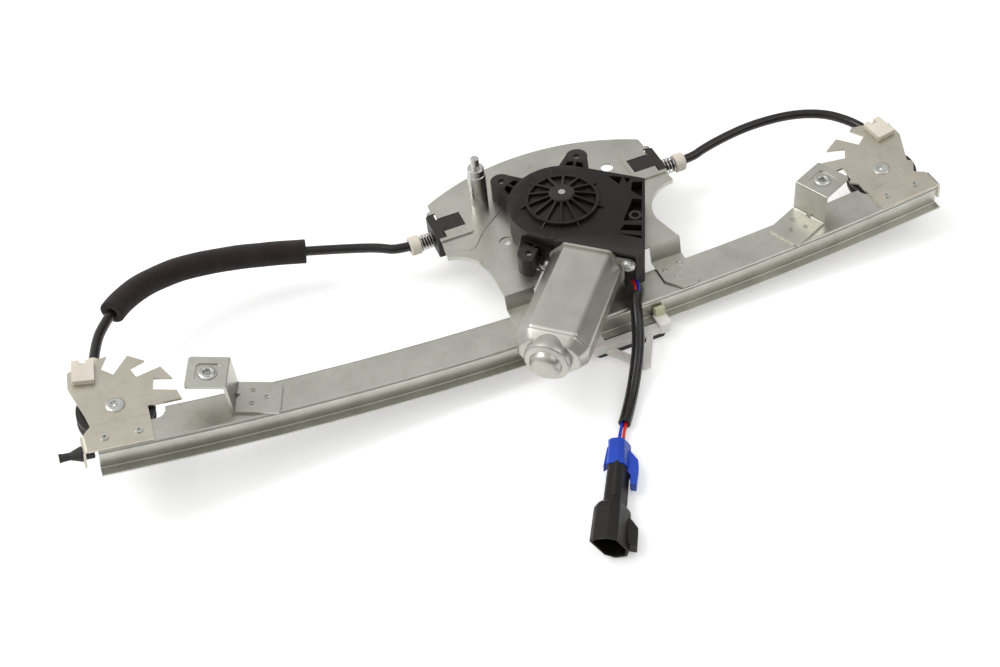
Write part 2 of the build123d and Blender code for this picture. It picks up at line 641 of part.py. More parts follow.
with BuildPart() as drum_housing:
    with BuildSketch(Plane.XY.offset(axle_bottom)):
        with Locations((DRUM_X, DRUM_Y)):
            Circle(CUP_RADIUS)
    extrude(amount=cup_top - axle_bottom)
    with BuildSketch(Plane.XY.offset(cup_floor)):
        with Locations((DRUM_X, DRUM_Y)):
            Circle(CUP_BORE)
    extrude(amount=20, mode=Mode.SUBTRACT)
    with BuildSketch(Plane.XY.offset(cup_floor)):
        with Locations((DRUM_X, DRUM_Y + CUP_RADIUS)):
            Rectangle(2 * CUP_RADIUS, 22)
    extrude(amount=DRUM_WIDTH + 0.6, mode=Mode.SUBTRACT)
    # fixing ears under the plate
    with BuildSketch(Plane.XY.offset(cup_top)):
        with Locations((DRUM_X, DRUM_Y)):
            with PolarLocations(CUP_RADIUS + 3, 3, start_angle=200):
                Circle(5)
            Circle(CUP_RADIUS - 1, mode=Mode.SUBTRACT)
    extrude(amount=-4)
    with BuildSketch(Plane.XY.offset(cup_top)):
        with Locations((DRUM_X, DRUM_Y)):
            with PolarLocations(CUP_RADIUS + 3.5, 3, start_angle=200):
                Circle(2)
    extrude(amount=-6, mode=Mode.SUBTRACT)
    # radial ribs under the floor
    with BuildSketch(Plane.XY.offset(axle_bottom)):
        with Locations((DRUM_X, DRUM_Y)):
            with PolarLocations(18, 8):
                Rectangle(20, 1.6)
    extrude(amount=-1.2)
    with BuildSketch(Plane.XY.offset(axle_bottom - 2)):
        with Locations((DRUM_X, DRUM_Y)):
            Circle(AXLE_RADIUS + 0.02)
    extrude(amount=10, mode=Mode.SUBTRACT)
    # room for the boss of the motor's lower screw
    with BuildSketch(motor_face):
        with Locations(FLANGE_SCREWS[0]):
            Circle(5)
    extrude(amount=-16, mode=Mode.SUBTRACT)
save(drum_housing.part, "drum_housing")


# Motor can: a deep-drawn cup with flat top and bottom and slanted shoulders

BOSS_RADIUS = 8.5
BOSS_LENGTH = 16.0
RING_RADIUS = 15.0
SHAFT_RADIUS = 3.0
SHOULDER_DROP = 10.0


def can_outline(shrink):
    """Half-rounded eight-sided section of the can, drawn smaller by shrink all round."""
    half_width = CAN_WIDTH / 2 - shrink
    half_height = CAN_HEIGHT / 2 - shrink
    flat = CAN_FLAT / 2 - shrink / 2
    drop = half_height - SHOULDER_DROP + shrink / 2
    with BuildSketch(mode=Mode.PRIVATE) as outline:
        with BuildLine():
            Polyline((flat, half_height), (half_width, drop), (half_width, -drop), (flat, -half_height),
                     (-flat, -half_height), (-half_width, -drop), (-half_width, drop), (-flat, half_height),
                     close=True)
        make_face()
        fillet(outline.vertices(), 3.5 - shrink / 2)
    return outline.sketch


with BuildPart() as motor_can:
    with BuildSketch(motor_face):
        add(can_outline(0))
    extrude(amount=CAN_LENGTH)
    fillet(motor_can.faces().sort_by(Axis((0, 0, 0), motor_axis_dir))[-1].edges(), 4)
    with BuildSketch(motor_face.offset(CAN_LENGTH - 1)):
        Circle(RING_RADIUS)
    extrude(amount=4.5)
    fillet(motor_can.faces().sort_by(Axis((0, 0, 0), motor_axis_dir))[-1].edges(), 1.5)
    with BuildSketch(motor_face.offset(CAN_LENGTH)):
        Circle(BOSS_RADIUS)
    extrude(amount=BOSS_LENGTH)
    fillet(motor_can.faces().sort_by(Axis((0, 0, 0), motor_axis_dir))[-1].edges(), 3.5)
    # flange with two screw ears, one low on the left and one high on the right
    with BuildSketch(motor_face):
        add(can_outline(-1.5))
        for ear_x, ear_y in FLANGE_SCREWS:
            with Locations((ear_x, ear_y)):
                Circle(4.8)
            with Locations((ear_x * 0.82, ear_y)):
                Rectangle(9, 9.6)
        with Locations(*FLANGE_SCREWS):
            Circle(FLANGE_SCREW_RADIUS + 0.02, mode=Mode.SUBTRACT)
    extrude(amount=1.8)
    # hollow inside for the magnets and the armature
    with BuildSketch(motor_face):
        add(can_outline(CAN_SHEET))
    extrude(amount=CAN_LENGTH - CAN_SHEET, mode=Mode.SUBTRACT)
    with BuildSketch(motor_face):
        Circle(BOSS_RADIUS - CAN_SHEET)
    extrude(amount=CAN_LENGTH + BOSS_LENGTH - CAN_SHEET, mode=Mode.SUBTRACT)
save(motor_can.part, "motor_can")


# Magnets: two curved segments along the sides of the can

ARMATURE_RADIUS = 12.8
MAGNET_INNER = ARMATURE_RADIUS + 0.6
MAGNET_START = 26.0
MAGNET_END_GAP = 6.4
MAGNET_LENGTH = CAN_LENGTH - CAN_SHEET - MAGNET_START - MAGNET_END_GAP

with BuildPart() as motor_magnets:
    with BuildSketch(motor_face.offset(MAGNET_START)):
        Rectangle(CAN_WIDTH - 2 * CAN_SHEET - 4, 13)
        Circle(MAGNET_INNER, mode=Mode.SUBTRACT)
    extrude(amount=MAGNET_LENGTH)
save(motor_magnets.part, "motor_magnets")


# Armature: shaft with the worm at its gear end, slotted core and commutator

WORM_RADIUS = 5.0
WORM_PITCH = 2.2
WORM_LENGTH = 26.0
worm_middle = -((DRUM_X - MOTOR_X) * -motor_axis_dir[0] + (DRUM_Y - MOTOR_Y) * -motor_axis_dir[1])

with BuildPart() as armature_shaft:
    with BuildSketch(motor_face.offset(FRONT_BUSH + 1)):
        Circle(SHAFT_RADIUS)
    extrude(amount=CAN_LENGTH + BOSS_LENGTH - CAN_SHEET - 1 - FRONT_BUSH - 1)
    # worm, drawn as close-set ridges
    with BuildSketch(motor_face.offset(worm_middle - WORM_LENGTH / 2)):
        Circle(WORM_RADIUS - 1.4)
    extrude(amount=WORM_LENGTH)
    turns = int(WORM_LENGTH / WORM_PITCH)
    for index in range(turns):
        with BuildSketch(motor_face.offset(worm_middle - WORM_LENGTH / 2 + (index + 0.25) * WORM_PITCH)):
            Circle(WORM_RADIUS - 0.9)
        extrude(amount=WORM_PITCH / 2)
save(armature_shaft.part, "armature_shaft")

with BuildPart() as armature_core:
    with BuildSketch(motor_face.offset(MAGNET_START + 4)):
        Circle(ARMATURE_RADIUS)
        with PolarLocations(ARMATURE_RADIUS - 3, 10):
            Rectangle(7, 1.6, mode=Mode.SUBTRACT)
            with Locations((-2, 0)):
                Circle(1.9, mode=Mode.SUBTRACT)
        Circle(SHAFT_RADIUS + 0.01, mode=Mode.SUBTRACT)
    extrude(amount=MAGNET_LENGTH - 8)
save(armature_core.part, "armature_core")

with BuildPart() as commutator:
    with BuildSketch(motor_face.offset(8)):
        Circle(6.5)
        with PolarLocations(6.5, 10):
            Rectangle(2, 0.6, mode=Mode.SUBTRACT)
        Circle(SHAFT_RADIUS + 0.01, mode=Mode.SUBTRACT)
    extrude(amount=12)
save(commutator.part, "commutator")


# Bushes at the two ends of the armature shaft

def bush(start, length, outer):
    """Plain bearing on the motor's axis."""
    with BuildPart() as sleeve:
        with BuildSketch(motor_face.offset(start)):
            Circle(outer)
            Circle(SHAFT_RADIUS + RUNNING, mode=Mode.SUBTRACT)
        extrude(amount=length)
    return sleeve.part


save(bush(CAN_LENGTH + 4, 8, BOSS_RADIUS - CAN_SHEET - 0.02), "rear_bush")
save(bush(FRONT_BUSH + 0.5, 6, TUNNEL_BORE - 0.02), "front_bush")


# Brush holder: a plate across the can's mouth with two brushes on the commutator

with BuildPart() as brush_holder:
    with BuildSketch(motor_face.offset(2)):
        add(can_outline(CAN_SHEET + 0.5))
        Circle(8, mode=Mode.SUBTRACT)
    extrude(amount=3)
    with BuildSketch(motor_face.offset(5)):
        with Locations((-13, 0), (13, 0)):
            Rectangle(9, 7)
            Rectangle(9.5, 4.4, mode=Mode.SUBTRACT)
    extrude(amount=9)
save(brush_holder.part, "brush_holder")

with BuildPart() as carbon_brushes:
    with BuildSketch(motor_face.offset(8)):
        with Locations((-11.5, 0), (11.5, 0)):
            Rectangle(9.4, 4)
    extrude(amount=5.6)
save(carbon_brushes.part, "carbon_brushes")


# Screws: a pan head with a cross recess on a plain shank

def screw(plane, head_radius, head_height, shank_radius, shank_length):
    """Pan-head screw whose head stands on the given plane."""
    with BuildPart() as body:
        with BuildSketch(plane):
            Circle(head_radius)
        extrude(amount=head_height)
        fillet(body.faces().sort_by(Axis((0, 0, 0), tuple(plane.z_dir)))[-1].edges(), head_height * 0.45)
        with BuildSketch(plane):
            Circle(shank_radius)
        extrude(amount=-shank_length)
        with BuildSketch(plane.offset(head_height)):
            Rectangle(head_radius * 1.1, head_radius * 0.28)
            Rectangle(head_radius * 0.28, head_radius * 1.1)
        extrude(amount=-head_height * 0.6, mode=Mode.SUBTRACT)
    return body.part


motor_screws = []
for side, up in FLANGE_SCREWS:
    seat = Plane(origin=motor_face.offset(1.82).from_local_coords((side, up, 0)), z_dir=motor_axis_dir)
    motor_screws.append(screw(seat, 3.8, 2.6, FLANGE_SCREW_RADIUS, 14))
save(Compound(children=motor_screws), "motor_screws")

# these go up through the plate, and their tips show in the ears and in the cover's boss
SCREW_TIP_DEPTH = 2.0
housing_screws = []
for spot, top in [*((ear, EAR_TOP) for ear in ears), (cover_boss, HOUSING_TOP)]:
    seat = Plane(origin=(*spot, plate_bottom - 0.02), z_dir=(0, 0, -1))
    housing_screws.append(screw(seat, 4.4, 2.8, EAR_HOLE - 0.1, top - SCREW_TIP_DEPTH - plate_bottom))
save(Compound(children=housing_screws), "housing_screws")


# Power socket under the corner of the gear housing

SOCKET_FRONT = -112.0
socket_top = housing_bottom
SOCKET_HEIGHT = 10.5

with BuildPart() as power_socket:
    with BuildSketch(Plane.XY.offset(socket_top - 0.02)):
        with Locations((72, SOCKET_FRONT)):
            Rectangle(14, 12, align=(Align.CENTER, Align.MIN))
    extrude(amount=-SOCKET_HEIGHT)
    fillet(power_socket.edges().filter_by(Axis.Z), 1.5)
save(power_socket.part, "power_socket")


# Conduit seats: T-shaped guides held in the plate's windows

SEAT_TOP = PLATE_TOP + 0.8
SEAT_BOTTOM = CONDUIT_Z - 7.0
FLANGE_THICKNESS = 6.0
FLANGE_WIDTH = 26.0


def conduit_seat(outer_x, seat_y, inward):
    """Stem and cross-bar seen from above, with the cable's bore along X."""
    with BuildPart() as seat:
        with BuildSketch(Plane.XY.offset(SEAT_TOP)):
            with Locations((outer_x + inward * FLANGE_THICKNESS / 2, seat_y)):
                RectangleRounded(FLANGE_THICKNESS, FLANGE_WIDTH, 1)
        extrude(amount=SEAT_BOTTOM - SEAT_TOP)
        with BuildSketch(Plane.XY.offset(SEAT_TOP)):
            with Locations((outer_x + inward * (FLANGE_THICKNESS + STEM_LENGTH) / 2, seat_y)):
                RectangleRounded(FLANGE_THICKNESS + STEM_LENGTH, STEM_WIDTH, 1)
        extrude(amount=SEAT_BOTTOM + 2 - SEAT_TOP)
        # the stem's top is a shallow tray
        with BuildSketch(Plane.XY.offset(SEAT_TOP)):
            with Locations((outer_x + inward * (FLANGE_THICKNESS + STEM_LENGTH / 2 + 1), seat_y)):
                RectangleRounded(STEM_LENGTH - 5, STEM_WIDTH - 4, 1)
        extrude(amount=-1.5, mode=Mode.SUBTRACT)
        with BuildSketch(Plane(origin=(outer_x - inward, seat_y, CONDUIT_Z), z_dir=(inward, 0, 0))):
            Circle(ROPE_RADIUS + 0.5)
        extrude(amount=40, mode=Mode.SUBTRACT)
    return seat.part


left_seat_outer = LEFT_SEAT_X - 1.5
right_seat_outer = RIGHT_SEAT_X + 1.5
save(conduit_seat(left_seat_outer, LEFT_CONDUIT_Y, 1), "left_conduit_seat")
save(conduit_seat(right_seat_outer, RIGHT_CONDUIT_Y, -1), "right_conduit_seat")


# Conduits: smooth black tubes from the seats to the clips at the rail's ends

left_route = [
    (left_seat_outer, LEFT_CONDUIT_Y, CONDUIT_Z), (-66, LEFT_CONDUIT_Y, CONDUIT_Z), (-78.5, 2.6, -51.6),
    (-94, 9, -51), (-115, 15.9, -49.5), (-142, 23, -46.6), (-168, 28.4, -43.4), (-193.5, 30.8, -39.5),
    (-216, 29.3, -35.7), (-235.5, 23.8, -32.4), (-251, 15.8, -30), (-263.5, 5.4, -28.2), (-274.5, -8.5, -27),
    (-284.4, -26, -26), (-289.9, -49, -25.6),
]
right_route = [
    (right_seat_outer, RIGHT_CONDUIT_Y, CONDUIT_Z), (166, RIGHT_CONDUIT_Y, CONDUIT_Z),
    (180, -5.3, -51.8), (198.4, -2.1, -50.5), (217.6, -0.2, -49.5), (235.1, -1.2, -48.4),
    (251.8, -3.5, -48), (266.9, -7.9, -48.2), (280.4, -14.9, -49), (289.2, -24.9, -49.5),
    (295.1, -35.8, -49.8), (299, -48.5, -50),
]
left_radii = corner_radii(left_route)
right_radii = corner_radii(right_route)
save(tube(left_route, left_radii, CONDUIT_RADIUS), "left_conduit")
save(tube(right_route, right_radii, CONDUIT_RADIUS), "right_conduit")

# foam sleeve over the middle of the left conduit
FOAM_FIRST = 5
FOAM_LAST = 12
foam_route = [
    between(left_route[FOAM_FIRST - 1], left_route[FOAM_FIRST], 0.5), *left_route[FOAM_FIRST:FOAM_LAST],
    between(left_route[FOAM_LAST - 1], left_route[FOAM_LAST], 0.5),
]
foam_radii = left_radii[FOAM_FIRST - 1:FOAM_LAST - 1]
save(tube(foam_route, foam_radii, FOAM_RADIUS, CONDUIT_RADIUS + 0.02), "foam_sleeve")


# Conduit caps and the tension springs behind them

CAP_RADIUS = 7.0
CAP_LENGTH = 8.0
SPRING_RADIUS = 5.5
SPRING_WIRE = 0.55
SPRING_TURNS = 4.5
cap_left_x = -54.2
cap_right_x = 156.0


def conduit_cap(x, y):
    """Ferrule with a rounded outer rim, centred on the conduit at x."""
    with BuildPart() as cap:
        with BuildSketch(Plane(origin=(x - CAP_LENGTH / 2, y, CONDUIT_Z), z_dir=(1, 0, 0))):
            Circle(CAP_RADIUS)
        extrude(amount=CAP_LENGTH)
        fillet(cap.edges(), 1.2)
        with BuildSketch(Plane(origin=(x - CAP_LENGTH, y, CONDUIT_Z), z_dir=(1, 0, 0))):
            Circle(CONDUIT_RADIUS + 0.35)
        extrude(amount=2 * CAP_LENGTH, mode=Mode.SUBTRACT)
    return cap.part


def tension_spring(start_x, end_x, y):
    """Coil spring round the conduit from start_x to end_x."""
    length = end_x - start_x - 2 * SPRING_WIRE
    with BuildPart() as spring:
        with BuildLine() as coil:
            Helix(pitch=length / SPRING_TURNS, height=length, radius=SPRING_RADIUS,
                  center=(start_x + SPRING_WIRE, y, CONDUIT_Z), direction=(1, 0, 0))
        with BuildSketch(Plane(origin=coil.line @ 0, z_dir=coil.line % 0)):
            RegularPolygon(SPRING_WIRE, 6)
        sweep(path=coil.wires()[0], is_frenet=True)
    return spring.part


save(conduit_cap(cap_left_x, LEFT_CONDUIT_Y), "left_conduit_cap")
save(conduit_cap(cap_right_x, RIGHT_CONDUIT_Y), "right_conduit_cap")
save(tension_spring(cap_left_x + CAP_LENGTH / 2, left_seat_outer, LEFT_CONDUIT_Y), "left_tension_spring")
save(tension_spring(right_seat_outer, cap_right_x - CAP_LENGTH / 2, RIGHT_CONDUIT_Y), "right_tension_spring")


# End brackets: a strip riveted on the web and a fan, one step lower, that carries the pulley

FAN_DROP = 1.2
STRIP_BACK = 22.0
TAB_DROP = 13.0
TAB_LOW = 2.0
TAB_HIGH = 15.5
TAB_CURVE = 3.0
AXLE_NECK = 3.0
LEFT_PULLEY = (-7.8, ROPE_LINE + PULLEY_ROPE_RADIUS)
RIGHT_PULLEY = (3.6, ROPE_LINE + PULLEY_ROPE_RADIUS)
LEFT_STRIP = ((9.4, 1.5), (-30.4, 1.6), (-30.4, 16.6), (-25.5, STRIP_BACK), (10.8, STRIP_BACK))
LEFT_FAN = (
    (10.8, 20.5), (11.2, 30.8), (32.8, 31.4), (31.3, 39.5), (17, 44), (19.5, 53.8), (30.8, 50.8), (25.7, 63),
    (9.2, 57.9), (6.7, 66.5), (17.1, 71.1), (7.4, 78.7), (-4.3, 63.9), (-11, 70.8), (-5.4, 81.6),
    (-14.1, 79.6),
    (-28.6, 74.4), (-32, 72.2), (-33.6, 58.9), (-27.4, 31.7), (-25.5, 20.5),
)
RIGHT_STRIP = ((-18, 1.8), (24, 0.7), (26.4, 1), (26.4, 16.9), (23.3, 18.9), (19.8, STRIP_BACK),
               (-17.8, STRIP_BACK))
RIGHT_FAN = (
    (19.8, 20.5), (26.6, 31.5), (23.6, 35.2), (34.5, 61.1), (34.2, 75.6), (18.3, 83.4), (9.2, 85.9),
    (5.9, 83.7), (11.9, 73.3), (3.7, 67.4), (-6.9, 81.5), (-19.1, 74.3), (-7.2, 69), (-12.1, 60.4),
    (-28.5, 65), (-33, 53), (-19, 52.5), (-19.6, 40.1), (-22.9, 37), (-18.4, 32.7), (-17.8, 20.5),
)
LEFT_CLIP = (-22.2, 69.4)
RIGHT_CLIP = (24.1, 72.5)
LEFT_CLIP_TURN = -8.0
RIGHT_CLIP_TURN = 5.0
CLIP_WEB_WIDTH = 8.0
CLIP_WEB_LENGTH = 13.0


def bracket_lift(strip):
    """How far a flat strip stands off the arched web at its middle, with its ends on the web."""
    reach = max(abs(point[0]) for point in strip)
    return reach**2 / (2 * RAIL_RADIUS)


def end_bracket(plane, strip, fan, side, rivets, pulley, clip, clip_turn):
    """Strip, fan and bent-down tab; side is -1 for the left end and 1 for the right end."""
    lift = bracket_lift(strip)
    edge = max(side * point[0] for point in strip)
    with BuildPart() as bracket:
        with BuildSketch(lifted(plane, lift)):
            with BuildLine():
                Polyline(*strip, close=True)
            make_face()
        extrude(amount=BRACKET_SHEET)
        with BuildSketch(lifted(plane, lift - FAN_DROP)):
            with BuildLine():
                Polyline(*fan, close=True)
            make_face()
        extrude(amount=BRACKET_SHEET)
        # tab across the rail's end, bent down
        tab_plane = Plane(origin=plane.from_local_coords((0, TAB_LOW, lift)), x_dir=plane.x_dir * side,
                          z_dir=(0, 1, 0) if side < 0 else (0, -1, 0))
        up = 1 if tab_plane.y_dir.Z > 0 else -1
        with BuildSketch(tab_plane):
            with BuildLine():
                start = edge - 1
                far = edge + TAB_CURVE
                Line((start, up * BRACKET_SHEET), (edge, up * BRACKET_SHEET))
                RadiusArc((edge, up * BRACKET_SHEET), (far, up * (BRACKET_SHEET - TAB_CURVE)), up * TAB_CURVE)
                Line((far, up * (BRACKET_SHEET - TAB_CURVE)), (far, -up * TAB_DROP))
                Line((far, -up * TAB_DROP), (far - BRACKET_SHEET, -up * TAB_DROP))
                Line((far - BRACKET_SHEET, -up * TAB_DROP),
                     (far - BRACKET_SHEET, up * (BRACKET_SHEET - TAB_CURVE)))
                RadiusArc((far - BRACKET_SHEET, up * (BRACKET_SHEET - TAB_CURVE)), (edge, 0),
                          -up * (TAB_CURVE - BRACKET_SHEET))
                Line((edge, 0), (start, 0))
                Line((start, 0), (start, up * BRACKET_SHEET))
            make_face()
        extrude(amount=(TAB_HIGH - TAB_LOW) * (1 if side < 0 else -1))
        with BuildSketch(lifted(plane, lift - FAN_DROP - 1)):
            with Locations(*rivets):
                Circle(RIVET_SHANK + 0.02)
            with Locations(pulley):
                Circle(AXLE_NECK)
            # window for the web of the conduit clip
            with Locations(Location((clip[0], clip[1], 0), (0, 0, clip_turn))):
                Rectangle(CLIP_WEB_WIDTH + 0.6, CLIP_WEB_LENGTH + 0.6)
        extrude(amount=6, mode=Mode.SUBTRACT)
    return bracket.part


left_plane = on_rail(LEFT_BRACKET_X)
right_plane = on_rail(RIGHT_BRACKET_X)
left_lift = bracket_lift(LEFT_STRIP)
right_lift = bracket_lift(RIGHT_STRIP)
left_bracket = end_bracket(left_plane, LEFT_STRIP, LEFT_FAN, -1, LEFT_RIVETS, LEFT_PULLEY, LEFT_CLIP,
                           LEFT_CLIP_TURN)
right_bracket = end_bracket(right_plane, RIGHT_STRIP, RIGHT_FAN, 1, RIGHT_RIVETS, RIGHT_PULLEY, RIGHT_CLIP,
                            RIGHT_CLIP_TURN)
save(right_bracket, "right_end_bracket")


# End stop: a rubber plug pushed through the left bracket's tab

STOP_HOLE = 2.4
stop_across = 7.0
STOP_DROP = 5.0
left_tab_outer = max(-point[0] for point in LEFT_STRIP) + TAB_CURVE
stop_plane = Plane(origin=left_plane.from_local_coords((-left_tab_outer, stop_across, -STOP_DROP)),
                   x_dir=(0, 1, 0), z_dir=-left_plane.x_dir)

with BuildPart() as left_end_bracket:
    add(left_bracket)
    with BuildSketch(stop_plane.offset(3)):
        Circle(STOP_HOLE)
    extrude(amount=-6, mode=Mode.SUBTRACT)
save(left_end_bracket.part, "left_end_bracket")

with BuildPart() as end_stop:
    with BuildSketch(Plane(origin=stop_plane.origin, x_dir=stop_plane.z_dir, z_dir=(0, 1, 0))):
        with BuildLine():
            Polyline(
                (-BRACKET_SHEET - 5.5, 0), (-BRACKET_SHEET - 5.5, 3.6), (-BRACKET_SHEET - 5, 4.1),
                (-BRACKET_SHEET - 0.02, 4.1), (-BRACKET_SHEET - 0.02, STOP_HOLE - 0.1),
                (0.02, STOP_HOLE - 0.1),
                (0.02, 4.8), (1, 4.8), (7.5, 2.4), (12, 2.6), (14, 3), (14, 0), close=True,
            )
        make_face()
    revolve(axis=Axis(stop_plane.origin, stop_plane.z_dir))
save(end_stop.part, "end_stop")


# Rivets of the end brackets

def rivet(plane, lift, spot):
    """Round rivet with a hollow head, through the strip and the web."""
    centre = plane.from_local_coords((spot[0], spot[1], lift + BRACKET_SHEET))
    seat = Plane(origin=centre, x_dir=plane.x_dir, z_dir=plane.z_dir)
    with BuildPart() as body:
        with BuildSketch(seat):
            Circle(RIVET_RADIUS)
        extrude(amount=0.7)
        with BuildSketch(seat):
            Circle(RIVET_SHANK)
        extrude(amount=-lift - BRACKET_SHEET - RAIL_SHEET - 0.3)
        with BuildSketch(seat.offset(-lift - BRACKET_SHEET - RAIL_SHEET - 0.02)):
            Circle(RIVET_RADIUS)
        extrude(amount=-0.8)
        with BuildSketch(seat.offset(0.7)):
            Circle(RIVET_RADIUS - 1.3)
        extrude(amount=-1.2, mode=Mode.SUBTRACT)
    return body.part


end_bracket_rivets = [rivet(left_plane, left_lift, spot) for spot in LEFT_RIVETS]
end_bracket_rivets += [rivet(right_plane, right_lift, spot) for spot in RIGHT_RIVETS]
save(Compound(children=end_bracket_rivets), "end_bracket_rivets")


# Pulleys and their stepped axles

PULLEY_RIM = 24.5
PULLEY_HALF = 4.5
PULLEY_BORE = 4.0
AXLE_FLANGE = 7.0


def pulley(plane, spot):
    """Grooved wheel with a hub and six webs, its groove at the cable's level."""
    centre = plane.from_local_coords((spot[0], spot[1], -ROPE_DROP))
    section = Plane(origin=centre, x_dir=plane.x_dir, z_dir=(0, -1, 0))
    with BuildPart() as wheel:
        with BuildSketch(section):
            with BuildLine():
                groove = PULLEY_ROPE_RADIUS - ROPE_RADIUS - 0.05
                Polyline(
                    (PULLEY_BORE + RUNNING, -PULLEY_HALF - 0.9), (8.5, -PULLEY_HALF - 0.9),
                    (8.5, -PULLEY_HALF + 1), (PULLEY_RIM - 5, -PULLEY_HALF + 1),
                    (PULLEY_RIM - 5, -PULLEY_HALF), (PULLEY_RIM, -PULLEY_HALF),
                    (PULLEY_RIM, -2), (groove, -0.9), (groove, 0.9), (PULLEY_RIM, 2),
                    (PULLEY_RIM, PULLEY_HALF),
                    (PULLEY_RIM - 5, PULLEY_HALF), (PULLEY_RIM - 5, PULLEY_HALF - 1), (8.5, PULLEY_HALF - 1),
                    (8.5, PULLEY_HALF + 0.9), (PULLEY_BORE + RUNNING, PULLEY_HALF + 0.9), close=True,
                )
            make_face()
        revolve(axis=Axis(centre, plane.z_dir))
        with BuildSketch(Plane(origin=centre, x_dir=plane.x_dir, z_dir=plane.z_dir).offset(-PULLEY_HALF)):
            with PolarLocations(14, 6):
                Circle(3.6)
        extrude(amount=2 * PULLEY_HALF, mode=Mode.SUBTRACT)
    return wheel.part


def pulley_axle(plane, spot, lift):
    """Shouldered rivet that hangs the pulley under the bracket."""
    fan_bottom = lift - FAN_DROP
    centre = plane.from_local_coords((spot[0], spot[1], 0))
    pulley_bottom = -ROPE_DROP - PULLEY_HALF - 0.9
    with BuildPart() as axle:
        with BuildSketch(Plane(origin=centre, x_dir=plane.x_dir, z_dir=(0, -1, 0))):
            with BuildLine():
                head = fan_bottom + BRACKET_SHEET
                Polyline(
                    (0, pulley_bottom - 1.3), (AXLE_FLANGE, pulley_bottom - 1.3),
                    (AXLE_FLANGE, pulley_bottom - 0.1),
                    (PULLEY_BORE, pulley_bottom - 0.1), (PULLEY_BORE, fan_bottom - 0.01),
                    (AXLE_NECK - 0.02, fan_bottom - 0.01), (AXLE_NECK - 0.02, head + 0.01), (6, head + 0.01),
                    (6, head + 0.4), (5, head + 0.8), (3.2, head + 0.8), (2.6, head + 0.1), (1.4, head + 0.1),
                    (0, head + 0.9), close=True,
                )
            make_face()
        revolve(axis=Axis(centre, plane.z_dir))
    return axle.part


save(pulley(left_plane, LEFT_PULLEY), "left_pulley")
save(pulley(right_plane, RIGHT_PULLEY), "right_pulley")
save(pulley_axle(left_plane, LEFT_PULLEY, left_lift), "left_pulley_axle")
save(pulley_axle(right_plane, RIGHT_PULLEY, right_lift), "right_pulley_axle")


# Conduit clips: a notched plate on top of the bracket and a socket round the conduit's end

CLIP_WIDTH = 14.0
CLIP_LENGTH = 19.0
CLIP_TOP = 4.2
NOTCH_WIDTH = 4.0
SOCKET_WALL = 1.0
SOCKET_GRIP = 6.0


def conduit_clip(plane, lift, spot, turn, route):
    """Clip turned about the bracket's normal, with its socket on the conduit's last run."""
    plate_face = lift - FAN_DROP + BRACKET_SHEET + 0.02
    centre = plane.from_local_coords((spot[0], spot[1], plate_face))
    angle = radians(turn)
    across = plane.x_dir * cos(angle) + Vector(0, 1, 0) * sin(angle)
    seat = Plane(origin=centre, x_dir=across, z_dir=plane.z_dir)
    end = Vector(*route[-1])
    run = (end - Vector(*route[-2])).normalized()
    with BuildPart() as clip:
        with BuildSketch(seat):
            RectangleRounded(CLIP_WIDTH, CLIP_LENGTH, 1)
        extrude(amount=CLIP_TOP - plate_face)
        with BuildSketch(seat):
            Rectangle(CLIP_WEB_WIDTH, CLIP_WEB_LENGTH)
        extrude(amount=-FAN_DROP - BRACKET_SHEET - 1.5)
        # arm below the bracket that carries the socket round the conduit's end
        with BuildSketch(Plane(origin=end - run * SOCKET_GRIP, x_dir=across, z_dir=run)):
            Circle(CONDUIT_RADIUS + SOCKET_WALL)
        extrude(amount=SOCKET_GRIP + 1.5)
        with BuildSketch(seat.offset(-BRACKET_SHEET - 0.3)) as arm:
            local_end = seat.to_local_coords(end)
            with BuildLine():
                half = CLIP_WEB_WIDTH / 2
                Polyline((-half, CLIP_WEB_LENGTH / 2), (half, -CLIP_WEB_LENGTH / 2 + 3),
                         (local_end.X + 3.2, local_end.Y + 2), (local_end.X - 3.2, local_end.Y + 3),
                         close=True)
            make_face()
        extrude(amount=-2.6)
        # notch between the two prongs
        with BuildSketch(seat.offset(CLIP_TOP)):
            with Locations((0, CLIP_LENGTH / 2)):
                Rectangle(NOTCH_WIDTH, 9)
        extrude(amount=-CLIP_TOP + plate_face, mode=Mode.SUBTRACT)
        with BuildSketch(Plane(origin=end - run * 20, z_dir=run)):
            Circle(CONDUIT_RADIUS + 0.02)
        extrude(amount=20, mode=Mode.SUBTRACT)
        with BuildSketch(Plane(origin=end - run, z_dir=run)):
            Circle(ROPE_RADIUS + 1.2)
        extrude(amount=12, mode=Mode.SUBTRACT)
    return clip.part


save(conduit_clip(left_plane, left_lift, LEFT_CLIP, LEFT_CLIP_TURN, left_route), "left_conduit_clip")
save(conduit_clip(right_plane, right_lift, RIGHT_CLIP, RIGHT_CLIP_TURN, right_route), "right_conduit_clip")


# Fixing brackets: a foot on the web, an upright riser, and a pad with a clinch nut

FIXING_SHEET = 1.8
FIXING_WIDTH = 26.5
FOOT_LENGTH = 30.5
PAD_LENGTH = 26.0
NUT_BORE = 2.6
NUT_RADIUS = 5.4
NUT_HEIGHT = 7.0


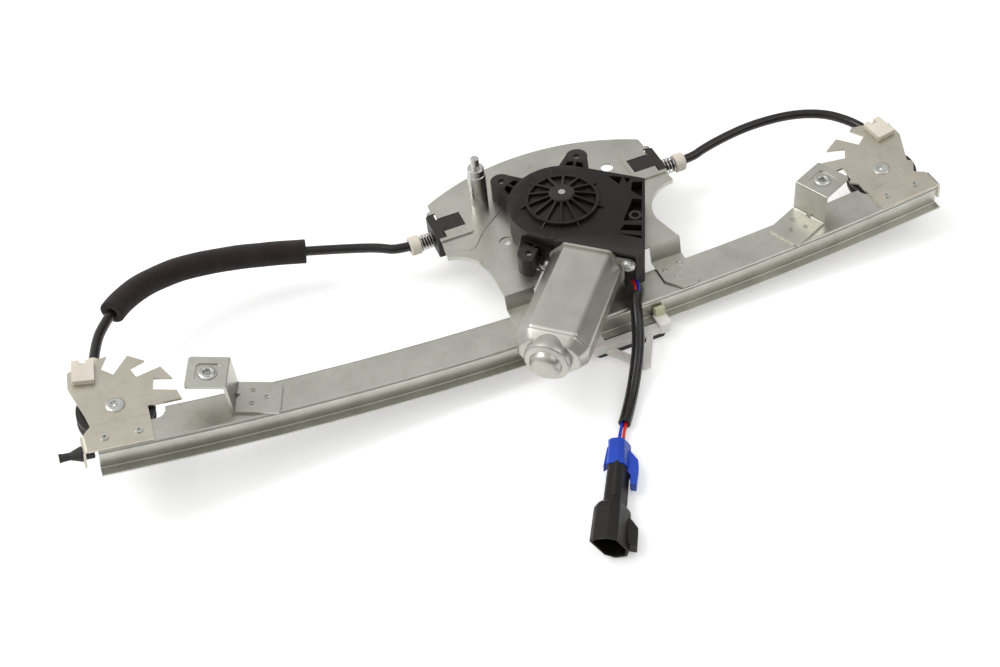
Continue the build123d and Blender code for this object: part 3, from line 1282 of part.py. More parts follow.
def fixing_bracket(x, y, aim, rise):
    """Z-shaped bracket: its foot is centred at x and y on the web, its riser at the end away from aim."""
    base = on_rail(x)
    tilt = asin((x - ARC_X) / RAIL_RADIUS)
    angle = radians(aim)
    along = base.x_dir * cos(angle) + Vector(0, 1, 0) * sin(angle)
    reach = FOOT_LENGTH / 2 * abs(cos(angle)) + FIXING_WIDTH / 2 * abs(sin(angle))
    lift = reach**2 / (2 * RAIL_RADIUS)
    middle = base.from_local_coords((0, y, lift)) - along * FOOT_LENGTH / 2
    frame = Plane(origin=middle, x_dir=along, z_dir=base.z_dir)
    lean = sin(tilt) * cos(angle) * rise
    side = Plane(origin=middle, x_dir=along, z_dir=along.cross(base.z_dir))
    sheet = FIXING_SHEET
    with BuildPart() as bracket:
        with BuildSketch(side):
            with BuildLine():
                Polyline(
                    (FOOT_LENGTH, 0), (FOOT_LENGTH, sheet), (sheet, sheet), (lean + sheet, rise),
                    (lean - PAD_LENGTH + sheet, rise), (lean - PAD_LENGTH + sheet, rise - sheet),
                    (lean, rise - sheet), (0, 0), close=True,
                )
            make_face()
        extrude(amount=FIXING_WIDTH / 2, both=True)
        rounded = bracket.edges().filter_by(Axis(middle, side.z_dir))
        fillet([e for e in rounded if abs(e.length - FIXING_WIDTH) < 0.1
                and -FOOT_LENGTH / 2 < (e.center() - middle).dot(along) < FOOT_LENGTH / 2], 0.85)
        corners = bracket.edges().filter_by(Axis(middle, base.z_dir))
        fillet(corners, 2.2)
        pad_centre = (lean - PAD_LENGTH / 2 + sheet, 0)
        with BuildSketch(frame.offset(rise)):
            with Locations(pad_centre):
                RectangleRounded(15, 15, 2.5)
        extrude(amount=-0.9, mode=Mode.SUBTRACT)
        with BuildSketch(frame.offset(rise)):
            with Locations(pad_centre):
                Circle(4.5)
        extrude(amount=-6, mode=Mode.SUBTRACT)
        # notch at the riser's foot and three clinch marks
        with BuildSketch(frame.offset(-1)):
            with BuildLine():
                Polyline((-2, -2.5), (-2, 2.5), (4.5, 2.5), (1.5, -2.5), close=True)
            make_face()
        extrude(amount=5, mode=Mode.SUBTRACT)
        with BuildSketch(frame.offset(sheet)):
            with Locations((12, -5.5), (12, 5.5), (21, 0)):
                Circle(1.7)
                Circle(0.9, mode=Mode.SUBTRACT)
        extrude(amount=-0.7, mode=Mode.SUBTRACT)
    nut_seat = Plane(origin=frame.from_local_coords((pad_centre[0], 0, rise - 0.9)), x_dir=along,
                     z_dir=base.z_dir)
    with BuildPart() as nut:
        with BuildSketch(nut_seat):
            Circle(4.48)
        extrude(amount=-FIXING_SHEET + 0.88)
        with BuildSketch(nut_seat.offset(-FIXING_SHEET + 0.88)):
            RegularPolygon(NUT_RADIUS, 6)
        extrude(amount=-NUT_HEIGHT)
        with BuildSketch(nut_seat.offset(1)):
            Circle(NUT_BORE)
        extrude(amount=-12, mode=Mode.SUBTRACT)
    return bracket.part, nut.part


left_fixing, left_nut = fixing_bracket(-197, 16.2, -19.3, 24.3)
right_fixing, right_nut = fixing_bracket(198.3, 17.2, 201.7, 25.4)
save(left_fixing, "left_fixing_bracket")
save(right_fixing, "right_fixing_bracket")
save(Compound(children=[left_nut, right_nut]), "clinch_nuts")


# Carriage: a slider on the rail's flanges that carries the glass

CARRIAGE_X = 55.5
CARRIAGE_HALF = 27.5
SLOT_HALF = 1.3
BASE_THICKNESS = 4.7
BAR_HALF = 24.0
BAR_FRONT = -13.0
STRUT_REACH = -35.0
STRUT_TOP = -17.5
HOOK_LENGTH = 9.0
carriage_plane = on_rail(CARRIAGE_X)
flange_low = -RAIL_DEPTH - RAIL_SHEET
flange_out = RAIL_WIDTH + RAIL_FLANGE
BAR_BACK = -RAIL_FLANGE - 0.9
BAR_LOW = flange_low - 4.6
hook_low = -RAIL_DEPTH + 0.6

with BuildPart() as carriage:
    # base plate, a raised middle just under the flanges, and the block that runs inside the channel
    with BuildSketch(carriage_plane.offset(BAR_LOW - 0.02)):
        with Locations((0, (BAR_FRONT + 0.7 + flange_out + 6) / 2)):
            RectangleRounded(2 * CARRIAGE_HALF - 3, flange_out + 6 - BAR_FRONT - 0.7, 3)
    extrude(amount=-BASE_THICKNESS)
    with BuildSketch(carriage_plane.offset(BAR_LOW - 1)):
        with Locations((0, RAIL_WIDTH / 2)):
            Rectangle(44, RAIL_WIDTH + 2 * RAIL_FLANGE)
    extrude(amount=flange_low - 0.6 - BAR_LOW + 1)
    with BuildSketch(carriage_plane.offset(flange_low - 1)):
        with Locations((0, RAIL_WIDTH / 2)):
            Rectangle(44, RAIL_WIDTH - 2 * RAIL_SHEET - 3)
    extrude(amount=-flange_low + 1 - RAIL_SHEET - 0.8)
    # slot that lets the cable through, cut along the rail's arc
    slot_start = on_rail(CARRIAGE_X - 2 * CARRIAGE_HALF)
    with BuildSketch(Plane(origin=slot_start.origin, x_dir=(0, 1, 0), z_dir=slot_start.x_dir)):
        with Locations((ROPE_LINE, -ROPE_DROP + SLOT_HALF)):
            Rectangle(2 * SLOT_HALF, 20, align=(Align.CENTER, Align.MAX))
    revolve(axis=rail_axis, revolution_arc=degrees(4 * CARRIAGE_HALF / RAIL_RADIUS), mode=Mode.SUBTRACT)
save(carriage.part, "carriage")

# white slider: a bar along the front flange, two end hooks over it, and a V-shaped strut
with BuildPart() as carriage_slider:
    with BuildSketch(carriage_plane.offset(BAR_LOW)):
        with Locations((0, BAR_BACK)):
            Rectangle(2 * BAR_HALF, BAR_BACK - BAR_FRONT, align=(Align.CENTER, Align.MAX))
    extrude(amount=-BAR_LOW - RAIL_DEPTH)
    # hooks at both ends reach back over the flange
    for middle in (-BAR_HALF - 0.5, BAR_HALF + 0.5):
        with BuildSketch(carriage_plane.offset(BAR_LOW)):
            with Locations((middle, BAR_BACK)):
                RectangleRounded(HOOK_LENGTH, BAR_BACK - BAR_FRONT + 0.8, 2, align=(Align.CENTER, Align.MAX))
        extrude(amount=hook_low + 2.2 - BAR_LOW)
        with BuildSketch(carriage_plane.offset(hook_low)):
            with Locations((middle, BAR_BACK - 1)):
                Rectangle(HOOK_LENGTH, -BAR_BACK - 1.4, align=(Align.CENTER, Align.MIN))
        extrude(amount=2.2)
    # strut
    with BuildSketch(carriage_plane.offset(STRUT_TOP)):
        with BuildLine():
            Polyline((-20.5, BAR_FRONT + 0.5), (-14.5, BAR_FRONT + 0.5), (-1, STRUT_REACH + 4),
                     (10.5, BAR_FRONT + 0.5), (15.5, BAR_FRONT + 0.5), (1.5, STRUT_REACH - 2),
                     (-3.5, STRUT_REACH - 2), close=True)
        make_face()
    extrude(amount=-3.6)
save(carriage_slider.part, "carriage_slider")

# soft shoes that grip the wall above the flange, front right and at the back
with BuildPart() as front_shoe:
    with BuildSketch(carriage_plane.offset(hook_low + 2.24)):
        with Locations((BAR_HALF + 0.5, -0.4)):
            Rectangle(HOOK_LENGTH - 2, 4.4, align=(Align.CENTER, Align.MAX))
    extrude(amount=6.5)
    shoe_lengthways = front_shoe.edges().filter_by(Axis(carriage_plane.origin, carriage_plane.x_dir))
    fillet(shoe_lengthways.sort_by(Axis.Z)[-1], 2)
save(front_shoe.part, "front_shoe")

with BuildPart() as rear_shoe:
    with BuildSketch(carriage_plane.offset(flange_low - 0.56)):
        with Locations((0, flange_out + 0.5)):
            Rectangle(40, 4.5, align=(Align.CENTER, Align.MIN))
    extrude(amount=-flange_low + 0.56 + hook_low + 2.2)
    with BuildSketch(carriage_plane.offset(hook_low)):
        with Locations((0, RAIL_WIDTH + 0.5)):
            Rectangle(40, RAIL_FLANGE + 1, align=(Align.CENTER, Align.MIN))
    extrude(amount=2.2)
save(rear_shoe.part, "rear_shoe")

# nipples that anchor the two cable ends in the carriage
with BuildPart() as cable_nipples:
    for middle in (-24.9, 24.9):
        nipple_plane = on_rail(CARRIAGE_X + middle)
        start = nipple_plane.from_local_coords((-2.5, ROPE_LINE, -ROPE_DROP))
        with BuildSketch(Plane(origin=start, z_dir=nipple_plane.x_dir)):
            Circle(2.6)
            Circle(ROPE_RADIUS + 0.3, mode=Mode.SUBTRACT)
        extrude(amount=5)
save(cable_nipples.part, "cable_nipples")


# Lift cable: along the channel's arc, round both pulleys and up to the conduits

rope_y = RAIL_FRONT + ROPE_LINE
# the cable is drawn in closed lengths, a hair apart where each straight meets its curve
ROPE_JOINT = 0.15
ROPE_END_GAP = 0.3


def pulley_run(plane, spot, side, route):
    """Cable round the pulley and on to the end of its conduit, with the start on the channel line."""
    centre = plane.from_local_coords((spot[0], spot[1], -ROPE_DROP))
    goal = Vector(*route[-1])
    local_goal = plane.to_local_coords(goal)
    gap_x = local_goal.X - spot[0]
    gap_y = local_goal.Y - spot[1]
    distance = hypot(gap_x, gap_y)
    # angle of the point where the straight run leaves the pulley
    leave = atan2(gap_y, gap_x) - side * asin(sqrt(distance**2 - PULLEY_ROPE_RADIUS**2) / distance)
    leave_point = plane.from_local_coords(
        (spot[0] + PULLEY_ROPE_RADIUS * cos(leave), spot[1] + PULLEY_ROPE_RADIUS * sin(leave), -ROPE_DROP))
    sweep_angle = (degrees(leave) + 90) % 360 if side > 0 else (-90 - degrees(leave)) % 360
    start = centre - Vector(0, 1, 0) * PULLEY_ROPE_RADIUS
    with BuildPart() as wrap:
        with BuildSketch(Plane(origin=start, z_dir=plane.x_dir)):
            Circle(ROPE_RADIUS)
        revolve(axis=Axis(centre, plane.z_dir * side), revolution_arc=sweep_angle)
    heading = goal - leave_point
    with BuildPart() as straight:
        with BuildSketch(Plane(origin=leave_point, z_dir=heading).offset(ROPE_JOINT)):
            Circle(ROPE_RADIUS)
        extrude(amount=heading.length - ROPE_END_GAP)
    return [wrap.part, straight.part], start


left_run, left_start = pulley_run(left_plane, LEFT_PULLEY, -1, left_route)
right_run, right_start = pulley_run(right_plane, RIGHT_PULLEY, 1, right_route)
left_start_turn = asin((left_start.X - ARC_X) / (RAIL_RADIUS + ROPE_DROP))
right_start_turn = asin((right_start.X - ARC_X) / (RAIL_RADIUS + ROPE_DROP))
left_start_z = arc_z - (RAIL_RADIUS + ROPE_DROP) * cos(left_start_turn)
left_start_plane = Plane(origin=(left_start.X, rope_y, left_start_z),
                         z_dir=(cos(left_start_turn), 0, sin(left_start_turn)))


with BuildPart() as channel_run:
    with BuildSketch(left_start_plane):
        Circle(ROPE_RADIUS)
    revolve(axis=rail_axis, revolution_arc=degrees(right_start_turn - left_start_turn))
save(Compound(children=[channel_run.part, *left_run, *right_run]), "lift_cable")


# Wiring: two wires from the power socket through a sleeve to a connector lying in front

SLEEVE_RADIUS = 4.25
SLEEVE_BORE = 2.6
WIRE_RADIUS = 1.1
WIRE_SPACING = 1.25
harness_route = [
    (70, SOCKET_FRONT, -47), (70, -118.5, -47), (63.4, -127.4, -49.6), (58.5, -141, -53),
    (53.4, -153.1, -60.5), (47.3, -163.4, -67), (36.6, -179.1, -74.8), (24.5, -195.5, -76.7),
    (13.8, -208.8, -76), (9.1, -218.1, -76),
]
connector_turn = radians(-116.8)
wire_across = (-sin(connector_turn), cos(connector_turn))
sleeve_radii = corner_radii(harness_route)


def wire(offset):
    """One wire, parallel to the route of the harness."""
    points = [(x + offset * wire_across[0], y + offset * wire_across[1], z) for x, y, z in harness_route]
    points[0] = (points[0][0], SOCKET_FRONT, points[0][2])
    return tube(points, corner_radii(points), WIRE_RADIUS)


save(wire(WIRE_SPACING), "blue_wire")
save(wire(-WIRE_SPACING), "red_wire")
sleeve_route = [between(harness_route[1], harness_route[2], 0.5), *harness_route[2:-2],
                between(harness_route[-3], harness_route[-2], 0.5)]
save(tube(sleeve_route, sleeve_radii[1:-1], SLEEVE_RADIUS, SLEEVE_BORE), "harness_sleeve")


# Connector: a blue lock, a black body and a wide shell with two blades

connector_plane = Plane(origin=(harness_route[-1][0], harness_route[-1][1], GROUND_Z),
                        x_dir=(cos(connector_turn), sin(connector_turn), 0), z_dir=(0, 0, 1))
LOCK_LENGTH = 26.0
BODY_END = 48.0
SHELL_END = 81.0


def slab(start, end, side_low, side_high, low, high, corner):
    """Block in the connector's own axes with rounded upright edges."""
    with BuildPart() as block:
        with BuildSketch(connector_plane.offset(low)):
            with Locations(((start + end) / 2, (side_low + side_high) / 2)):
                RectangleRounded(end - start, side_high - side_low, corner)
        extrude(amount=high - low)
        fillet(block.faces().sort_by(Axis.Z)[-1].edges(), min(corner, 1.5) * 0.8)
    return block.part


with BuildPart() as connector_lock:
    add(slab(0, LOCK_LENGTH, -11, 11.5, 1.5, 13, 2.5))
    with BuildSketch(connector_plane.offset(-10)):
        with Locations((LOCK_LENGTH - 6, -2.5)):
            Rectangle(18, 8)
    extrude(amount=30, mode=Mode.SUBTRACT)
save(connector_lock.part, "connector_lock")

with BuildPart() as connector_body:
    add(slab(LOCK_LENGTH + 0.02, BODY_END, -11, 6, 1.5, 13, 1.5))
    with BuildSketch(connector_plane.offset(12)):
        with Locations((LOCK_LENGTH + 10, -2.5)):
            Rectangle(12, 6)
    extrude(amount=4)
save(connector_body.part, "connector_body")

with BuildPart() as connector_shell:
    add(slab(BODY_END + 0.02, SHELL_END, -17, 12, 0, 15, 3))
    with BuildSketch(Plane(origin=connector_plane.from_local_coords((SHELL_END, -2.5, 7.5)),
                           x_dir=connector_plane.y_dir, z_dir=connector_plane.x_dir)):
        RectangleRounded(25, 11, 2)
    extrude(amount=-24, mode=Mode.SUBTRACT)
save(connector_shell.part, "connector_shell")

with BuildPart() as connector_blades:
    with BuildSketch(Plane(origin=connector_plane.from_local_coords((SHELL_END - 24, -2.5, 7.5)),
                           x_dir=connector_plane.y_dir, z_dir=connector_plane.x_dir)):
        with Locations((-6, 0), (6, 0)):
            Rectangle(6, 0.8)
    extrude(amount=15)
save(connector_blades.part, "connector_blades")
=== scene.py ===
import json
from math import cos, pi, radians, sin

import bmesh
import bpy
from mathutils import Matrix, Vector, noise


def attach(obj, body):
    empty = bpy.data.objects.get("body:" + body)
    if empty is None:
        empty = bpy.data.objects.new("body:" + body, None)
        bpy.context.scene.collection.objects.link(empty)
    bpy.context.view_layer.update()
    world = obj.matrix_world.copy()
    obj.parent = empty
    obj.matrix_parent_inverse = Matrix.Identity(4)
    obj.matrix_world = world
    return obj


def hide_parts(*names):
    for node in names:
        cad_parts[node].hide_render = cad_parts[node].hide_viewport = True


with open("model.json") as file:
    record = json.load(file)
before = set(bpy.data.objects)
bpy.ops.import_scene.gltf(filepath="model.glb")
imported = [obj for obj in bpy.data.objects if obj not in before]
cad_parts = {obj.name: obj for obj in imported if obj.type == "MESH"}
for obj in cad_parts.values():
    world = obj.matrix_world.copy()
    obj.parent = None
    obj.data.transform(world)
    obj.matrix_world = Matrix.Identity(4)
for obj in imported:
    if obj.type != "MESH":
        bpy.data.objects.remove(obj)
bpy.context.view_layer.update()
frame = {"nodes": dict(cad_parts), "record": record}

# Window regulator: finishes for every solid, soft wiring, conduits and foam, and the pressed, turned and
# moulded forms that lie over plainer solids. Metres, in the part's own frame. The routes of the soft pieces,
# and the profiles, outlines and spots of the rigid ones, are in millimetres.

scene = bpy.context.scene
BODY = "regulator_frame"
GROUND_Z = -0.081
MOTOR_PLACE = Vector((0.0428, -0.0957, -0.035))
MOTOR_TURN = radians(41.2)


# Camera

CAMERA_PLACE = (-0.21202, -0.69578, 0.60971)
CAMERA_AZIMUTH = radians(17.288)
CAMERA_ELEVATION = radians(47.341)
CAMERA_ROLL = radians(-6.402)
LENS_MM = 48.0
SENSOR_MM = 36


def make_camera():
    """A camera from its place and three angles."""
    ahead = Vector((sin(CAMERA_AZIMUTH) * cos(CAMERA_ELEVATION), cos(CAMERA_AZIMUTH) * cos(CAMERA_ELEVATION),
                    -sin(CAMERA_ELEVATION)))
    level = Vector((cos(CAMERA_AZIMUTH), -sin(CAMERA_AZIMUTH), 0))
    upright = level.cross(ahead)
    right = cos(CAMERA_ROLL) * level + sin(CAMERA_ROLL) * upright
    up = cos(CAMERA_ROLL) * upright - sin(CAMERA_ROLL) * level
    data = bpy.data.cameras.new("camera")
    data.lens = LENS_MM
    data.sensor_width = SENSOR_MM
    data.clip_start = 0.01
    data.clip_end = 50
    camera = bpy.data.objects.new("camera", data)
    turn = Matrix((right, up, -ahead)).transposed().to_4x4()
    camera.matrix_world = Matrix.Translation(CAMERA_PLACE) @ turn
    scene.collection.objects.link(camera)
    scene.camera = camera


make_camera()


# Helpers for materials

def new_material(name):
    """A material with its node tree and its main shader."""
    material = bpy.data.materials.new(name)
    material.use_nodes = True
    return material, material.node_tree, material.node_tree.nodes["Principled BSDF"]


def noise_node(tree, scale, detail=3.0, stretch=(1, 1, 1), turn=0.0):
    """Noise with scale waves to the object's own metre, drawn out along an axis where stretch is small."""
    place = tree.nodes.new("ShaderNodeTexCoord")
    mapping = tree.nodes.new("ShaderNodeMapping")
    mapping.inputs["Scale"].default_value = stretch
    mapping.inputs["Rotation"].default_value = (0, 0, turn)
    grain = tree.nodes.new("ShaderNodeTexNoise")
    grain.inputs["Scale"].default_value = scale
    grain.inputs["Detail"].default_value = detail
    tree.links.new(place.outputs["Object"], mapping.inputs["Vector"])
    tree.links.new(mapping.outputs["Vector"], grain.inputs["Vector"])
    return grain.outputs["Fac"]


def cell_node(tree, scale):
    """Cells in the object's own metres, with the distance from each cell's middle."""
    place = tree.nodes.new("ShaderNodeTexCoord")
    cells = tree.nodes.new("ShaderNodeTexVoronoi")
    cells.inputs["Scale"].default_value = scale
    tree.links.new(place.outputs["Object"], cells.inputs["Vector"])
    return cells


def spread(tree, source, low, high, start=0.3, end=0.7):
    """The source's values from start to end, spread over low to high."""
    node = tree.nodes.new("ShaderNodeMapRange")
    node.inputs["From Min"].default_value = start
    node.inputs["From Max"].default_value = end
    node.inputs["To Min"].default_value = low
    node.inputs["To Max"].default_value = high
    tree.links.new(source, node.inputs["Value"])
    return node.outputs["Result"]


def colours(tree, source, *stops):
    """A colour ramp through (place, colour) stops."""
    ramp = tree.nodes.new("ShaderNodeValToRGB")
    elements = ramp.color_ramp.elements
    while len(elements) < len(stops):
        elements.new(0.5)
    for element, (place, colour) in zip(elements, stops):
        element.position = place
        element.color = (*colour, 1)
    tree.links.new(source, ramp.inputs["Fac"])
    return ramp.outputs["Color"]


def multiply(tree, first, second):
    """The product of two colours."""
    mix = tree.nodes.new("ShaderNodeMix")
    mix.data_type = "RGBA"
    mix.blend_type = "MULTIPLY"
    mix.inputs["Factor"].default_value = 1
    tree.links.new(first, mix.inputs["A"])
    tree.links.new(second, mix.inputs["B"])
    return mix.outputs["Result"]


def add_bump(tree, shader, height, depth):
    """Raises the surface by up to depth metres where height is 1."""
    bump = tree.nodes.new("ShaderNodeBump")
    bump.inputs["Strength"].default_value = 1
    bump.inputs["Distance"].default_value = depth
    tree.links.new(height, bump.inputs["Height"])
    if shader.inputs["Normal"].is_linked:
        tree.links.new(shader.inputs["Normal"].links[0].from_socket, bump.inputs["Normal"])
    tree.links.new(bump.outputs["Normal"], shader.inputs["Normal"])


def painted_edge_highlight(tree, colour, low, high, highlight_colour):
    """The colour, turned towards a paler colour along outer edges: a painted highlight."""
    geometry = tree.nodes.new("ShaderNodeNewGeometry")
    share = spread(tree, geometry.outputs["Pointiness"], 0, 1, low, high)
    mix = tree.nodes.new("ShaderNodeMix")
    mix.data_type = "RGBA"
    mix.inputs["B"].default_value = (*highlight_colour, 1)
    tree.links.new(share, mix.inputs["Factor"])
    tree.links.new(colour, mix.inputs["A"])
    return mix.outputs["Result"]


# Metals

def zinc_sheet(name, light, dark, roughness):
    """Plated sheet: cloudy tone, short rolling streaks, faint stains and a fine orange-peel surface."""
    material, tree, shader = new_material(name)
    shader.inputs["Metallic"].default_value = 1
    clouds = colours(tree, noise_node(tree, 38, 5), (0.32, dark), (0.68, light))
    stains = colours(tree, noise_node(tree, 190, 3), (0.30, (0.93, 0.925, 0.91)), (0.46, (1, 1, 1)))
    tree.links.new(multiply(tree, clouds, stains), shader.inputs["Base Color"])
    streaks = noise_node(tree, 1500, 2, (0.03, 1, 1))
    tree.links.new(spread(tree, streaks, roughness - 0.06, roughness + 0.07), shader.inputs["Roughness"])
    add_bump(tree, shader, streaks, depth=0.000006)
    add_bump(tree, shader, noise_node(tree, 900, 2), depth=0.00001)
    return material


def drawn_steel(name, light, dark, roughness, turn):
    """Deep-drawn plated steel: drawing lines along the can and a soft haze."""
    material, tree, shader = new_material(name)
    shader.inputs["Metallic"].default_value = 1
    haze = colours(tree, noise_node(tree, 60, 4), (0.35, dark), (0.65, light))
    tree.links.new(haze, shader.inputs["Base Color"])
    lines = noise_node(tree, 1800, 2, (1, 0.04, 1), turn)
    tree.links.new(spread(tree, lines, roughness - 0.04, roughness + 0.07), shader.inputs["Roughness"])
    add_bump(tree, shader, lines, depth=0.000004)
    return material


def bright_steel():
    """Zinc-bright turned and formed hardware, with a cloudy tone."""
    material, tree, shader = new_material("bright_steel")
    shader.inputs["Metallic"].default_value = 1
    tone = colours(tree, noise_node(tree, 160, 3), (0.3, (0.50, 0.50, 0.47)), (0.7, (0.62, 0.62, 0.59)))
    tree.links.new(tone, shader.inputs["Base Color"])
    tree.links.new(spread(tree, noise_node(tree, 500, 2), 0.24, 0.36), shader.inputs["Roughness"])
    add_bump(tree, shader, noise_node(tree, 900, 2), depth=0.000004)
    return material


def stranded_steel():
    """Wire rope: fine strands show as close bands, darker in the grooves between them: painted shade."""
    material, tree, shader = new_material("cable_steel")
    shader.inputs["Metallic"].default_value = 1
    place = tree.nodes.new("ShaderNodeTexCoord")
    bands = tree.nodes.new("ShaderNodeTexWave")
    bands.bands_direction = "DIAGONAL"
    bands.inputs["Scale"].default_value = 420
    bands.inputs["Distortion"].default_value = 0.6
    tree.links.new(place.outputs["Object"], bands.inputs["Vector"])
    # the low bands, the grooves between strands, are dark: painted shade
    tone = colours(tree, bands.outputs["Fac"], (0.1, (0.12, 0.115, 0.11)), (0.6, (0.55, 0.55, 0.54)))
    tree.links.new(tone, shader.inputs["Base Color"])
    shader.inputs["Roughness"].default_value = 0.34
    add_bump(tree, shader, bands.outputs["Fac"], depth=0.00008)
    return material


def plain_metal(name, light, dark, roughness):
    """Bare metal with a cloudy tone and a fine turned surface."""
    material, tree, shader = new_material(name)
    shader.inputs["Metallic"].default_value = 1
    tone = colours(tree, noise_node(tree, 200, 4), (0.3, dark), (0.7, light))
    tree.links.new(tone, shader.inputs["Base Color"])
    tree.links.new(spread(tree, noise_node(tree, 700, 3), roughness - 0.06, roughness + 0.08),
                   shader.inputs["Roughness"])
    add_bump(tree, shader, noise_node(tree, 2200, 3), depth=0.00001)
    return material


# Plastics, rubber and foam

COARSE_GRAIN = 0.00003
MOULD_GRAIN = 0.000012
FINE_GRAIN = 0.000006


def moulded_plastic(name, light, dark, roughness, grain=MOULD_GRAIN, edge=None, translucency=0.0,
                    specular=0.5):
    """Moulded plastic with a fine spark-eroded grain, faint flow marks and, where a colour is given for them,
    a painted highlight along the outer edges.
    """
    material, tree, shader = new_material(name)
    tone = colours(tree, noise_node(tree, 70, 4), (0.3, dark), (0.7, light))
    # a paler colour along outer edges: painted highlight
    if edge:
        tone = painted_edge_highlight(tree, tone, 0.52, 0.6, edge)
    tree.links.new(tone, shader.inputs["Base Color"])
    tree.links.new(spread(tree, noise_node(tree, 240, 4), roughness - 0.06, roughness + 0.08),
                   shader.inputs["Roughness"])
    shader.inputs["Specular IOR Level"].default_value = specular
    if translucency:
        shader.inputs["Subsurface Weight"].default_value = translucency
        shader.inputs["Subsurface Scale"].default_value = 0.001
    add_bump(tree, shader, noise_node(tree, 2600, 2), grain)
    add_bump(tree, shader, noise_node(tree, 110, 2), depth=0.00004)
    return material


def extruded_jacket(name, colour, pale, roughness):
    """Glossy extruded jacket: dust in soft patches, scuffs, and a shallow lay beneath the skin."""
    material, tree, shader = new_material(name)
    tone = colours(tree, noise_node(tree, 160, 5), (0.45, colour), (0.8, pale))
    tree.links.new(tone, shader.inputs["Base Color"])
    tree.links.new(spread(tree, noise_node(tree, 420, 4), roughness - 0.06, roughness + 0.1),
                   shader.inputs["Roughness"])
    add_bump(tree, shader, noise_node(tree, 500, 3), depth=0.00003)
    return material


def closed_cell_foam():
    """Dark foam: a skin of small open cells, painted darker in their pits as shade, over soft, slightly
    browner patches.
    """
    material, tree, shader = new_material("foam")
    cells = cell_node(tree, 1500)
    patches = colours(tree, noise_node(tree, 90, 4), (0.3, (0.014, 0.009, 0.0075)),
                      (0.7, (0.026, 0.0175, 0.0145)))
    # cell middles, the pits of the bump, darker: painted shade
    pit_shade = colours(tree, cells.outputs["Distance"], (0.0, (0.55, 0.55, 0.55)), (0.5, (1, 1, 1)))
    tree.links.new(multiply(tree, patches, pit_shade), shader.inputs["Base Color"])
    shader.inputs["Roughness"].default_value = 0.95
    shader.inputs["Specular IOR Level"].default_value = 0.2
    shader.inputs["Sheen Weight"].default_value = 0.15
    shader.inputs["Sheen Roughness"].default_value = 0.6
    add_bump(tree, shader, cells.outputs["Distance"], depth=0.00035)
    add_bump(tree, shader, noise_node(tree, 700, 4), depth=0.0002)
    return material


def soft_rubber():
    """Black rubber, matt and a little uneven."""
    material, tree, shader = new_material("rubber")
    tone = colours(tree, noise_node(tree, 260, 4), (0.3, (0.012, 0.012, 0.012)), (0.7, (0.03, 0.029, 0.028)))
    tree.links.new(tone, shader.inputs["Base Color"])
    tree.links.new(spread(tree, noise_node(tree, 600, 3), 0.55, 0.75), shader.inputs["Roughness"])
    add_bump(tree, shader, noise_node(tree, 1600, 3), depth=0.00003)
    return material


finishes = {
    "galvanised_sheet": zinc_sheet("galvanised_sheet", (0.56, 0.553, 0.497), (0.465, 0.459, 0.41), 0.34),
    "bracket_sheet": zinc_sheet("bracket_sheet", (0.60, 0.565, 0.475), (0.52, 0.49, 0.41), 0.36),
    "can_steel": drawn_steel("can_steel", (0.53, 0.525, 0.475), (0.46, 0.455, 0.41), 0.33, MOTOR_TURN),
    "bright_steel": bright_steel(),
    "cable_steel": stranded_steel(),
    # black plastic: its paler colour along outer edges is a painted highlight
    "black_plastic": moulded_plastic("black_plastic", (0.012, 0.0095, 0.0085), (0.007, 0.0055, 0.005), 0.42,
                                     edge=(0.03, 0.026, 0.024), specular=0.28),
    "gloss_black": extruded_jacket("gloss_black", (0.006, 0.0045, 0.004), (0.014, 0.011, 0.010), 0.22),
    "white_plastic": moulded_plastic("white_plastic", (0.76, 0.70, 0.61), (0.68, 0.62, 0.52), 0.42,
                                     FINE_GRAIN, translucency=0.15),
    "shoe_plastic": moulded_plastic("shoe_plastic", (0.66, 0.68, 0.46), (0.58, 0.60, 0.38), 0.45,
                                    FINE_GRAIN, translucency=0.15),
    "foam": closed_cell_foam(),
    "rubber": soft_rubber(),
    "blue_plastic": moulded_plastic("blue_plastic", (0.004, 0.06, 0.52), (0.003, 0.045, 0.42), 0.36,
                                    FINE_GRAIN),
    "red_insulation": extruded_jacket("red_insulation", (0.62, 0.012, 0.012), (0.7, 0.05, 0.04), 0.32),
    "blue_insulation": extruded_jacket("blue_insulation", (0.012, 0.03, 0.46), (0.03, 0.06, 0.5), 0.32),
    "bronze": plain_metal("bronze", (0.52, 0.36, 0.18), (0.38, 0.26, 0.13), 0.42),
    "copper": plain_metal("copper", (0.78, 0.42, 0.26), (0.60, 0.30, 0.18), 0.28),
    "dark_iron": plain_metal("dark_iron", (0.13, 0.125, 0.12), (0.07, 0.068, 0.066), 0.55),
    "carbon": moulded_plastic("carbon", (0.03, 0.03, 0.031), (0.014, 0.014, 0.015), 0.55, COARSE_GRAIN),
    "natural_plastic": moulded_plastic("natural_plastic", (0.82, 0.80, 0.74), (0.74, 0.72, 0.66), 0.38,
                                       FINE_GRAIN, translucency=0.15),
}

for part in frame["record"]["subparts"]:
    for material_slot in frame["nodes"][part["node"]].material_slots:
        material_slot.material = finishes[part["material_slot"]]

# the carriage and its slider get a paler plastic than the caps and clips: partly their own whiter plastic,
# partly painted light that brightens them in the shade beneath the rail
carriage_plastic_with_painted_light = moulded_plastic("carriage_plastic_with_painted_light", (0.93, 0.90, 0.86), (0.87, 0.83, 0.78), 0.4,
                                   FINE_GRAIN, translucency=0.3)
for node in ("carriage", "carriage_slider"):
    for material_slot in frame["nodes"][node].material_slots:
        if material_slot.material == finishes["white_plastic"]:
            material_slot.material = carriage_plastic_with_painted_light


# Soft lines: the conduits, the foam on one of them, and the wiring

def millimetres(points):
    """Points given in millimetres, in metres."""
    return [Vector(point) / 1000 for point in points]


